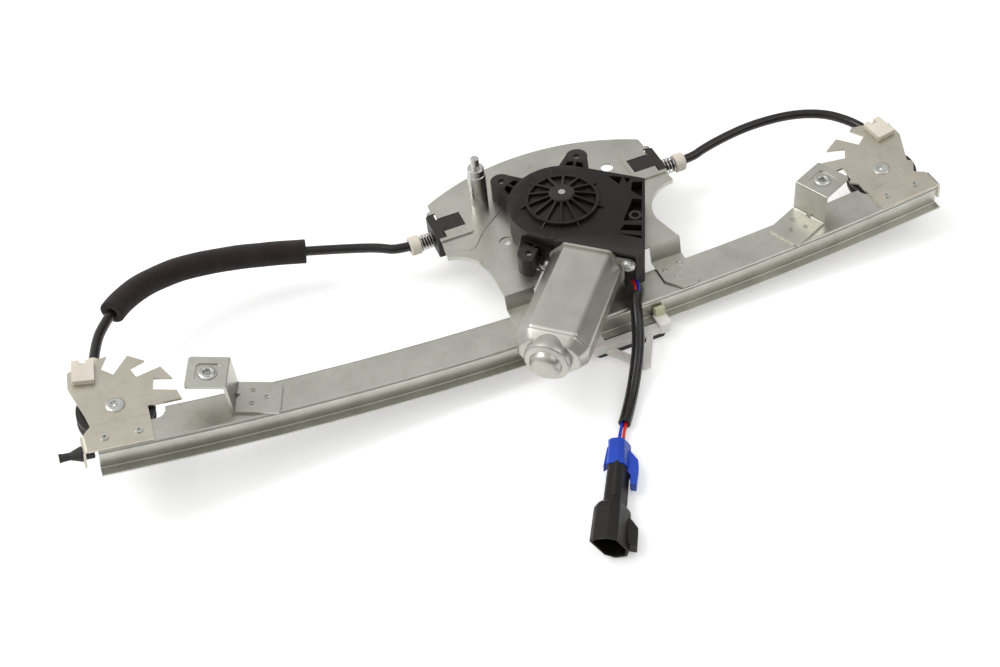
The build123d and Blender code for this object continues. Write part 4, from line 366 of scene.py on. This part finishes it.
LEFT_ROUTE = millimetres([
    (-40, -6.3, -52), (-66, -6.3, -52), (-78.5, 2.6, -51.6), (-94, 9, -51), (-115, 15.9, -49.5),
    (-142, 23, -46.6), (-168, 28.4, -43.4), (-193.5, 30.8, -39.5), (-216, 29.3, -35.7),
    (-235.5, 23.8, -32.4), (-251, 15.8, -30), (-263.5, 5.4, -28.2), (-274.5, -8.5, -27),
    (-284.4, -26, -26), (-289.9, -49, -25.6),
])
RIGHT_ROUTE = millimetres([
    (140, -10.6, -52), (166, -10.6, -52), (180, -5.3, -51.8), (198.4, -2.1, -50.5), (217.6, -0.2, -49.5),
    (235.1, -1.2, -48.4), (251.8, -3.5, -48), (266.9, -7.9, -48.2), (280.4, -14.9, -49),
    (289.2, -24.9, -49.5), (295.1, -35.8, -49.8), (299, -48.5, -50),
])
HARNESS_ROUTE = millimetres([
    (70, -112, -47), (70, -118.5, -47), (63.4, -127.4, -49.6), (58.5, -141, -53), (53.4, -153.1, -60.5),
    (47.3, -163.4, -67), (36.6, -179.1, -74.8), (24.5, -195.5, -76.7), (13.8, -208.8, -76),
    (9.1, -218.1, -76),
])
CONDUIT_RADIUS = 0.0035
FOAM_RADIUS = 0.009
FOAM_GAP = 0.0001
FOAM_LUMP = 0.0003
LUMPS_PER_METRE = 55
SLEEVE_RADIUS = 0.00425
SLEEVE_BORE = 0.0026
WIRE_RADIUS = 0.0011
WIRE_OFFSET = 0.00125
ACROSS_WIRES = Vector((0.8926, -0.4509, 0))
# the wires turn half round each other from one point of their route over the next few
TWIST_START = 2
TWIST_LENGTH = 5


def smooth_curve(name, points, radius=0.0):
    """One open smooth line through a route, as round as radius makes it."""
    curve = bpy.data.curves.new(name, "CURVE")
    curve.dimensions = "3D"
    curve.resolution_u = 16
    curve.bevel_depth = radius
    curve.bevel_resolution = 5
    curve.use_fill_caps = True
    spline = curve.splines.new("NURBS")
    spline.points.add(len(points) - 1)
    for control, place in zip(spline.points, points):
        control.co = (*place, 1)
    spline.order_u = 3
    spline.use_endpoint_u = True
    obj = bpy.data.objects.new(name, curve)
    scene.collection.objects.link(obj)
    return obj


def line_of(points):
    """Points read from the smooth line through a route."""
    obj = smooth_curve("line", points)
    mesh = bpy.data.meshes.new_from_object(obj)
    line = [vertex.co.copy() for vertex in mesh.vertices]
    bpy.data.meshes.remove(mesh)
    bpy.data.objects.remove(obj)
    return line


def length_of(line):
    """Length of a line of points."""
    return sum((after - before).length for before, after in zip(line, line[1:]))


def middle_part(points, first, last):
    """The route from the middle of one run to the middle of another."""
    start = (points[first] + points[first + 1]) / 2
    end = (points[last] + points[last + 1]) / 2
    return [start, *points[first + 1:last + 1], end]


def hollow_tube(name, line, outer, inner, sides, rim, uneven=0.0):
    """A tube mesh along a line, open at both ends, with rounded rims and a skin that may be uneven.

    Each station is a point of the line, a step forward from it, and the radius of the ring there.
    """
    last = len(line) - 1
    tangents = []
    for index in range(last + 1):
        ahead = line[min(index + 1, last)] - line[max(index - 1, 0)]
        tangents.append(ahead.normalized())
    side = tangents[0].cross(Vector((0, 0, 1))).normalized()
    frames = []
    for tangent in tangents:
        side = (side - tangent * side.dot(tangent)).normalized()
        frames.append((side, tangent.cross(side)))
    turn_in = rim * 0.3
    stations = [(0, 0, inner + rim / 2), (0, 0, outer - rim), (0, turn_in, outer - turn_in), (0, rim, outer)]
    stations += [(index, 0, outer) for index in range(1, last)]
    stations += [(last, -rim, outer), (last, -turn_in, outer - turn_in), (last, 0, outer - rim),
                 (last, 0, inner + rim / 2), (last, -rim / 2, inner)]
    stations += [(index, 0, inner) for index in range(last - 1, 0, -1)]
    stations.append((0, rim / 2, inner))
    vertices = []
    for index, forward, radius in stations:
        across, upward = frames[index]
        centre = line[index] + tangents[index] * forward
        for step in range(sides):
            angle = 2 * pi * step / sides
            direction = across * cos(angle) + upward * sin(angle)
            reach = radius
            if uneven and radius > inner + rim:
                reach += uneven * noise.noise((centre + direction * radius) * LUMPS_PER_METRE)
            vertices.append(centre + direction * reach)
    faces = []
    rings = len(stations)
    for ring in range(rings):
        following = (ring + 1) % rings
        for step in range(sides):
            after = (step + 1) % sides
            faces.append((ring * sides + step, ring * sides + after, following * sides + after,
                          following * sides + step))
    mesh = bpy.data.meshes.new(name)
    mesh.from_pydata(vertices, [], faces)
    mesh.polygons.foreach_set("use_smooth", [True] * len(mesh.polygons))
    mesh.validate()
    mesh.update()
    obj = bpy.data.objects.new(name, mesh)
    scene.collection.objects.link(obj)
    return obj


def dress(obj, slot, *nodes):
    """Gives a piece its finish, puts it on the frame and lets it stand for its solids."""
    obj.data.materials.append(finishes[slot])
    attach(obj, BODY)
    if nodes:
        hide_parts(*nodes)


def wire_route(offset):
    """The harness route moved sideways, turning half round the other wire inside the sleeve."""
    points = []
    for index, place in enumerate(HARNESS_ROUTE):
        turn = pi * min(max((index - TWIST_START) / TWIST_LENGTH, 0), 1)
        points.append(place + (ACROSS_WIRES * cos(turn) + Vector((0, 0, sin(turn)))) * offset)
    points[0].y = HARNESS_ROUTE[0].y
    return points


# Helpers for the rigid pieces

SHARP_ANGLE = radians(32)
ROUNDED_ANGLE = radians(25)


def placed(origin, x_axis, y_axis):
    """Placement whose X and Y lie along two directions at right angles."""
    x_axis = Vector(x_axis).normalized()
    z_axis = x_axis.cross(Vector(y_axis)).normalized()
    turn = Matrix((x_axis, z_axis.cross(x_axis), z_axis)).transposed().to_4x4()
    return Matrix.Translation(origin) @ turn


def new_piece(name, vertices, faces, smooth=True, bevel=0.0):
    """A mesh piece, smooth except along sharp edges or else flat, with edges as round as bevel makes them."""
    mesh = bpy.data.meshes.new(name)
    mesh.from_pydata(vertices, [], faces)
    shape = bmesh.new()
    shape.from_mesh(mesh)
    bmesh.ops.remove_doubles(shape, verts=shape.verts, dist=0.000001)
    bmesh.ops.recalc_face_normals(shape, faces=shape.faces)
    shape.to_mesh(mesh)
    shape.free()
    mesh.polygons.foreach_set("use_smooth", [smooth] * len(mesh.polygons))
    if smooth:
        mesh.set_sharp_from_angle(angle=SHARP_ANGLE)
    obj = bpy.data.objects.new(name, mesh)
    scene.collection.objects.link(obj)
    if bevel:
        rounding = obj.modifiers.new("rounding", "BEVEL")
        rounding.width = bevel
        rounding.segments = 3
        rounding.limit_method = "ANGLE"
        rounding.angle_limit = ROUNDED_ANGLE
        rounding.harden_normals = True
    return obj


def skinned(name, place, rings, smooth=True, bevel=0.0):
    """A closed skin over rings of points that have the same count."""
    vertices = [place @ Vector(point) for ring in rings for point in ring]
    count = len(rings[0])
    faces = []
    for ring in range(len(rings) - 1):
        for step in range(count):
            after = (step + 1) % count
            faces.append((ring * count + step, ring * count + after, (ring + 1) * count + after,
                          (ring + 1) * count + step))
    faces.append(tuple(reversed(range(count))))
    faces.append(tuple(range((len(rings) - 1) * count, len(rings) * count)))
    return new_piece(name, vertices, faces, smooth, bevel)


def turned(name, place, profile, sides=64):
    """A turned form about the placement's Z, from (radius, height) pairs."""
    rings = []
    for radius, height in profile:
        ring = []
        for step in range(sides):
            angle = 2 * pi * step / sides
            ring.append((radius / 1000 * cos(angle), radius / 1000 * sin(angle), height / 1000))
        rings.append(ring)
    return skinned(name, place, rings)


def upright_prism(name, place, outline, low, high, bevel):
    """A block whose outline is given in plan."""
    rings = [[(x / 1000, y / 1000, level / 1000) for x, y in outline] for level in (low, high)]
    return skinned(name, place, rings, smooth=False, bevel=bevel)


def pressed_line(name, points, slot, thickness):
    """A soft raised crease: a round line, part of it sunk in the sheet."""
    crease = smooth_curve(name, millimetres(points), thickness / 2000)
    dress(crease, slot)


# Motor can: its rounded end and the stepped boss of the rear bearing

CAN_FLAT = 15.6
CAN_SIDE = 6.0
CAN_HALF_WIDTH = 25.0
CAN_HALF_HEIGHT = 16.0
CAN_CORNERS = [
    (CAN_FLAT, CAN_HALF_HEIGHT), (CAN_HALF_WIDTH, CAN_SIDE), (CAN_HALF_WIDTH, -CAN_SIDE),
    (CAN_FLAT, -CAN_HALF_HEIGHT), (-CAN_FLAT, -CAN_HALF_HEIGHT), (-CAN_HALF_WIDTH, -CAN_SIDE),
    (-CAN_HALF_WIDTH, CAN_SIDE), (-CAN_FLAT, CAN_HALF_HEIGHT),
]
CORNER_CUT = 3
CORNER_STEPS = 6
CAN_SHOULDER = [
    (0.8, 78.6), (-0.02, 79.4), (0.03, 80.3), (0.35, 81.0), (1.5, 82.9), (2.7, 84.9), (3.5, 86.2),
    (4.4, 87.0), (6.0, 87.3),
]
CAN_NOSE = [
    (15.6, 80.0), (15.6, 86.2), (15.8, 87.6), (15.8, 91.0), (15.5, 92.2), (14.6, 93.0), (13.2, 93.3),
    (11.8, 93.4), (11.0, 93.8), (10.7, 94.8), (10.3, 96.4), (9.2, 97.8), (7.4, 98.8), (4.8, 99.4),
    (2.2, 99.6), (0.2, 99.65),
]
motor_axis = Vector((-sin(MOTOR_TURN), -cos(MOTOR_TURN), 0))
motor_side = Vector((cos(MOTOR_TURN), -sin(MOTOR_TURN), 0))
motor_frame = placed(MOTOR_PLACE, motor_side, motor_axis.cross(motor_side))


def can_ring(shrink, along):
    """Eight-sided section of the can with rounded corners, drawn smaller by shrink."""
    across = (CAN_HALF_WIDTH - shrink) / CAN_HALF_WIDTH
    upward = (CAN_HALF_HEIGHT - shrink) / CAN_HALF_HEIGHT
    points = []
    for index, spot in enumerate(CAN_CORNERS):
        corner = Vector(spot)
        before = Vector(CAN_CORNERS[index - 1])
        after = Vector(CAN_CORNERS[(index + 1) % len(CAN_CORNERS)])
        start = corner + (before - corner).normalized() * CORNER_CUT
        end = corner + (after - corner).normalized() * CORNER_CUT
        for step in range(CORNER_STEPS):
            share = step / (CORNER_STEPS - 1)
            bend = start * (1 - share) ** 2 + corner * 2 * share * (1 - share) + end * share ** 2
            points.append((bend.x * across / 1000, bend.y * upward / 1000, along / 1000))
    return points


shoulder_rings = [can_ring(shrink, along) for shrink, along in CAN_SHOULDER]
dress(skinned("can_shoulder", motor_frame, shoulder_rings), "can_steel")
dress(turned("can_nose", motor_frame, CAN_NOSE), "can_steel")


# Small turned forms: flanges of the motor's screws, clinch points and nut collars

SCREW_FLANGE = [(2.2, 1.85), (4.4, 1.85), (4.8, 2.1), (4.9, 2.5), (4.5, 3.0), (3.9, 3.5), (2.2, 3.6)]
# each motor screw's place across the can and above its axis
MOTOR_SCREWS = (("left", -29, -6.5), ("right", 29, 8))
STAKE = [(2.1, -0.2), (2.1, 0.12), (1.8, 0.4), (1.3, 0.5), (1.0, 0.3), (0.3, 0.2)]
STAKE_SPOTS = ((96.8, -106.0), (109.0, -104.0), (101.8, -115.8))
NUT_COLLAR = [
    (2.7, 0.0), (2.7, 0.9), (3.2, 1.35), (4.2, 1.4), (4.7, 0.9), (5.3, 0.55), (6.1, 0.5), (6.4, 0.0),
]
# each nut's place on its bracket, and the direction that it faces
NUT_PLACES = (
    ("left", (-221.35, -101.91, -8.62), (0.1517, 0, 0.9884)),
    ("right", (222.63, -100.43, -26.52), (-0.0679, 0, 0.9977)),
)
# the rail's web, an arc that is lowest at ARC_X, and the sheet of the motor plate that lies on it
WEB_Z = -57
ARC_X = 76
RAIL_RADIUS = 1800
PLATE_SHEET = 1.5

for side, across, upward in MOTOR_SCREWS:
    spot = motor_frame @ Matrix.Translation((across / 1000, upward / 1000, 0))
    dress(turned(f"{side}_screw_flange", spot, SCREW_FLANGE), "bright_steel")

for index, (x, y) in enumerate(STAKE_SPOTS):
    level = WEB_Z + (x - ARC_X) ** 2 / (2 * RAIL_RADIUS) + PLATE_SHEET
    spot = placed(Vector((x, y, level)) / 1000, (1, 0, 0), (0, 1, 0))
    dress(turned(f"plate_stake_{index + 1}", spot, STAKE, sides=32), "galvanised_sheet")

for side, centre, normal in NUT_PLACES:
    upward = Vector(normal)
    spot = placed(Vector(centre) / 1000, (upward.z, 0, -upward.x), (0, 1, 0))
    dress(turned(f"{side}_nut_collar", spot, NUT_COLLAR), "bright_steel")


# Conduit seats: their filled tops, flush with the ends of their windows

SEAT_HALF_WIDTH = 7
SEAT_TOP_LOW = -43.2
SEAT_TOP_HIGH = -41.05
SEAT_EDGE = 0.0006
# each window's two ends along X, and its middle in Y
SEAT_WINDOWS = (("left", -33.4, -16.3, -6.3), ("right", 116.3, 133.4, -10.6))

for side, start, end, middle in SEAT_WINDOWS:
    near = middle - SEAT_HALF_WIDTH
    far = middle + SEAT_HALF_WIDTH
    outline = [(start, near), (end, near), (end, far), (start, far)]
    seat_top = upright_prism(f"{side}_seat_top", Matrix.Identity(4), outline, low=SEAT_TOP_LOW,
                             high=SEAT_TOP_HIGH, bevel=SEAT_EDGE)
    dress(seat_top, "black_plastic")


# Sheets: pressed lines, and the motor plate with its narrow beads pressed flat

PRESSING_LEVEL = -42.25
PRESSING = [
    (10, -11), (4.4, -16.5), (-3.6, -21.5), (-11, -28.9), (-16.3, -36.2), (-21, -39.2), (-29, -36),
    (-37, -32.6),
]
LEFT_CREASE = [(-298, -105.6, -17.4), (-280, -105.6, -21.0), (-263.5, -105.6, -24.2)]
RIGHT_CREASE = [(263, -104.3, -47.0), (278.2, -104.3, -45.3), (296, -104.3, -43.3)]

pressing = [(x, y, PRESSING_LEVEL) for x, y in PRESSING]
pressed_line("plate_pressing", pressing, "galvanised_sheet", thickness=1.3)
pressed_line("left_bracket_crease", LEFT_CREASE, "bracket_sheet", thickness=1.8)
pressed_line("right_bracket_crease", RIGHT_CREASE, "bracket_sheet", thickness=1.8)

# each bead's two ends in plan, and how far its start is drawn in from the plate's edge
BEADS = (((-24, -70), (-6, -20), 17.0), ((8, 14), (60, 30), 0.0))
# in metres: a bead's reach from its middle line, the plate's flat top, and the levels of the skin to press
BEAD_REACH = 0.0019
PLATE_FLAT = -0.04201
BEAD_LOW = -0.04202
BEAD_HIGH = -0.0412
PLATE_SHARP_ANGLE = radians(22)


def without_beads():
    """The plate's own skin with its two narrow beads pressed flat."""
    mesh = frame["nodes"]["motor_plate"].data.copy()
    for start, end, trim in BEADS:
        start = Vector(start) / 1000
        end = Vector(end) / 1000
        length = (end - start).length
        heading = (end - start).normalized()
        for vertex in mesh.vertices:
            offset = Vector(vertex.co[:2]) - start
            along = offset.dot(heading)
            beside = abs(offset.cross(heading)) < BEAD_REACH and -BEAD_REACH < along < length + BEAD_REACH
            if beside and BEAD_LOW < vertex.co.z < BEAD_HIGH:
                inside = start + heading * max(along, trim / 1000)
                vertex.co = (*(inside + (offset - heading * along)), min(vertex.co.z, PLATE_FLAT))
    if mesh.has_custom_normals:
        mesh.attributes.remove(mesh.attributes["custom_normal"])
    mesh.polygons.foreach_set("use_smooth", [True] * len(mesh.polygons))
    mesh.set_sharp_from_angle(angle=PLATE_SHARP_ANGLE)
    mesh.materials.clear()
    obj = bpy.data.objects.new("pressed_plate", mesh)
    scene.collection.objects.link(obj)
    return obj


dress(without_beads(), "galvanised_sheet", "motor_plate")


# Connector: a blue lock, a black body and a wide-mouthed shell, lying turned on its edge

PLUG_HEADING = (-0.4509, -0.8926, 0)
plug_end = HARNESS_ROUTE[-1]
connector_frame = placed((plug_end.x, plug_end.y, GROUND_Z), PLUG_HEADING, ACROSS_WIRES)
MOUTH = [
    (-17.0, 18.0), (-14.6, 21.4), (-6.4, 22.7), (-0.2, 21.4), (7.0, 8.8), (5.8, 2.6), (-1.3, 0.6),
    (-8.2, 3.7),
]
MOUTH_MIDDLE = (-5.0, 11.6)
THROAT = (-2.6, 10.0)
# stations of the shell: along the plug, size, and share of the way from the throat to the mouth
SHELL_STATIONS = (
    (50, 0.52, 0.05), (50.8, 0.74, 0.1), (53.2, 0.88, 0.25), (56.5, 0.95, 0.5), (81.6, 1.0, 1),
    (81.6, 0.84, 1), (60, 0.78, 1),
)
LUG = [(57, 4.5), (60, 8.2), (66, 12.2), (79, 11.6), (78, 6), (62, 4)]
BLADE = [(-1.6, 1.2), (1.6, -0.6), (1.9, 0), (-1.3, 1.8)]
BLADE_START = 60
BLADE_END = 74
RIB = [(-4.4, 16.6), (-2.6, 17.6), (-1.6, 16.6), (-3.4, 15.2)]
# the rib's ends: along the plug, and how far the rib has drifted across it
RIB_ENDS = ((20, 1.0), (47, -0.4))
LOCK_ARM = [
    (1, 1), (4, 4), (14, 11.3), (20, 11.8), (34, 10.6), (33.4, 6.4), (26, 6.6), (22, 3.4), (16, 3.4),
    (16, 0),
]
LOCK_HOOK = [
    (-0.5, -8.2), (3, -6.4), (6, -8.6), (21, -10.6), (17.5, -6.8), (14, -5.2), (3, -4.6), (0, -5.4),
]
# stations of the body and the lock: along the plug, size, and the middle of the section
BODY_STATIONS = (
    (15, 0.5, (-0.6, 9.4)), (17, 0.58, (-0.6, 9.4)), (46, 0.62, (-2.2, 9.8)), (51, 0.62, (-2.6, 10.0)),
)
LOCK_STATIONS = (
    (-0.5, 0.5, (-0.6, 8.6)), (1.0, 0.6, (-0.6, 9.0)), (20.5, 0.68, (-0.6, 9.4)), (21.2, 0.66, (-0.6, 9.4)),
)


def section(along, size, middle):
    """The mouth's outline, scaled by size about its own middle and moved to another."""
    return [(along / 1000, (middle[0] + (y - MOUTH_MIDDLE[0]) * size) / 1000,
             (middle[1] + (z - MOUTH_MIDDLE[1]) * size) / 1000) for y, z in MOUTH]


def shell_section(along, size, share):
    """A section of the shell, whose middle goes from the throat to the mouth by share."""
    middle = [low + (high - low) * share for low, high in zip(THROAT, MOUTH_MIDDLE)]
    return section(along, size, middle)


def blade(name, middle, height):
    """A flat contact blade, tilted across the plug."""
    rings = [[(along / 1000, (middle + shift) / 1000, (height + rise) / 1000) for shift, rise in BLADE]
             for along in (BLADE_START, BLADE_END)]
    return skinned(name, connector_frame, rings, smooth=False)


def rib_section(along, drift):
    """A section of the rib, moved across the plug by drift."""
    return [(along / 1000, (y + drift) / 1000, z / 1000) for y, z in RIB]


shell_rings = [shell_section(*station) for station in SHELL_STATIONS]
body_rings = [section(*station) for station in BODY_STATIONS]
rib_rings = [rib_section(*end) for end in RIB_ENDS]
lock_rings = [section(*station) for station in LOCK_STATIONS]

shell = skinned("plug_shell", connector_frame, shell_rings, smooth=False, bevel=0.0007)
shell_lug = upright_prism("shell_lug", connector_frame, LUG, low=2.5, high=11, bevel=0.0009)
upper_blade = blade("upper_blade", middle=-8.5, height=14.6)
lower_blade = blade("lower_blade", middle=-1.5, height=8.2)
body = skinned("plug_body", connector_frame, body_rings, smooth=False, bevel=0.0006)
rib = skinned("plug_rib", connector_frame, rib_rings, smooth=False, bevel=0.0003)
lock = skinned("plug_lock", connector_frame, lock_rings, smooth=False, bevel=0.0006)
lock_arm = upright_prism("lock_arm", connector_frame, LOCK_ARM, low=3.2, high=10.5, bevel=0.0007)
lock_hook = upright_prism("lock_hook", connector_frame, LOCK_HOOK, low=5, high=12, bevel=0.0005)

for piece in (shell, shell_lug, body, rib):
    dress(piece, "black_plastic")
for piece in (upper_blade, lower_blade):
    dress(piece, "bright_steel")
for piece in (lock, lock_arm, lock_hook):
    dress(piece, "blue_plastic")
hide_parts("connector_shell")
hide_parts("connector_body")
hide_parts("connector_lock")
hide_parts("connector_blades")


# Cords, with the plug at the end of the two wires

for colour, offset in (("blue", WIRE_OFFSET), ("red", -WIRE_OFFSET)):
    route = wire_route(offset)
    wire = smooth_curve(f"{colour}_lead", route, WIRE_RADIUS)
    dress(wire, f"{colour}_insulation", f"{colour}_wire")
    length_of(line_of(route))

sleeve_line = line_of(middle_part(HARNESS_ROUTE, first=1, last=7))
sleeve = hollow_tube("wire_sleeve", sleeve_line, SLEEVE_RADIUS, SLEEVE_BORE, sides=28, rim=0.0004)
dress(sleeve, "gloss_black", "harness_sleeve")

for side, route in (("left", LEFT_ROUTE), ("right", RIGHT_ROUTE)):
    conduit = smooth_curve(f"{side}_cable_conduit", route, CONDUIT_RADIUS)
    dress(conduit, "gloss_black", f"{side}_conduit")
    length_of(line_of(route))

foam_line = line_of(middle_part(LEFT_ROUTE, first=4, last=11))
foam = hollow_tube("foam_tube", foam_line, FOAM_RADIUS - FOAM_LUMP, CONDUIT_RADIUS + FOAM_GAP, sides=48,
                   rim=0.0007, uneven=FOAM_LUMP)
dress(foam, "foam", "foam_sleeve")


# Floor, light and backdrop

FLOOR_HALF = 8
FLOOR_GLOW = 0.35
BRIGHTEST_SKY = (-0.55, 0.35, 0.75)
LAMP_AIM = (0, -0.1, 0)
# lamps: name, place, side length and watts
LAMPS = (("key", (-0.9, 0.5, 1.5), 0.9, 12), ("fill", (1.1, -0.7, 1.2), 1.2, 5))


def make_floor():
    """A wide pale floor at the level that the part lies on."""
    mesh = bpy.data.meshes.new("floor")
    half = FLOOR_HALF
    corners = [(-half, -half, GROUND_Z), (half, -half, GROUND_Z), (half, half, GROUND_Z),
               (-half, half, GROUND_Z)]
    mesh.from_pydata(corners, [], [(0, 1, 2, 3)])
    floor = bpy.data.objects.new("floor", mesh)
    scene.collection.objects.link(floor)
    material, tree, shader = new_material("floor")
    shader.inputs["Base Color"].default_value = (0.85, 0.85, 0.85, 1)
    shader.inputs["Roughness"].default_value = 1
    shader.inputs["Specular IOR Level"].default_value = 0
    rays = tree.nodes.new("ShaderNodeLightPath")
    seen = tree.nodes.new("ShaderNodeMath")
    seen.operation = "ADD"
    tree.links.new(rays.outputs["Is Camera Ray"], seen.inputs[0])
    tree.links.new(rays.outputs["Is Glossy Ray"], seen.inputs[1])
    glow = tree.nodes.new("ShaderNodeMath")
    glow.operation = "MULTIPLY"
    glow.inputs[1].default_value = FLOOR_GLOW
    tree.links.new(seen.outputs[0], glow.inputs[0])
    shader.inputs["Emission Color"].default_value = (1, 1, 1, 1)
    tree.links.new(glow.outputs[0], shader.inputs["Emission Strength"])
    mesh.materials.append(material)


def make_world():
    """Grey light from all round, strongest overhead on the left, seen as white by the camera."""
    world = bpy.data.worlds.new("studio")
    scene.world = world
    world.use_nodes = True
    tree = world.node_tree
    tree.nodes.clear()
    out = tree.nodes.new("ShaderNodeOutputWorld")
    soft = tree.nodes.new("ShaderNodeBackground")
    place = tree.nodes.new("ShaderNodeTexCoord")
    facing = tree.nodes.new("ShaderNodeVectorMath")
    facing.operation = "DOT_PRODUCT"
    facing.inputs[1].default_value = Vector(BRIGHTEST_SKY).normalized()
    tree.links.new(place.outputs["Generated"], facing.inputs[0])
    sky = colours(tree, spread(tree, facing.outputs["Value"], 0, 1, -1, 1), (0.0, (0.12, 0.12, 0.12)),
                  (0.5, (0.34, 0.34, 0.34)), (0.85, (0.86, 0.86, 0.86)), (1.0, (1.0, 1.0, 1.0)))
    tree.links.new(sky, soft.inputs["Color"])
    white = tree.nodes.new("ShaderNodeBackground")
    white.inputs["Color"].default_value = (1, 1, 1, 1)
    white.inputs["Strength"].default_value = 1
    rays = tree.nodes.new("ShaderNodeLightPath")
    mix = tree.nodes.new("ShaderNodeMixShader")
    tree.links.new(rays.outputs["Is Camera Ray"], mix.inputs["Fac"])
    tree.links.new(soft.outputs[0], mix.inputs[1])
    tree.links.new(white.outputs[0], mix.inputs[2])
    tree.links.new(mix.outputs[0], out.inputs["Surface"])


def add_lamp(name, place, size, watts):
    """A soft square lamp that points at the part."""
    data = bpy.data.lights.new(name, "AREA")
    data.shape = "SQUARE"
    data.size = size
    data.energy = watts
    lamp = bpy.data.objects.new(name, data)
    lamp.location = place
    lamp.rotation_euler = (Vector(LAMP_AIM) - Vector(place)).to_track_quat("-Z", "Y").to_euler()
    scene.collection.objects.link(lamp)


make_floor()
make_world()
for lamp_values in LAMPS:
    add_lamp(*lamp_values)
scene.view_settings.view_transform = "Standard"
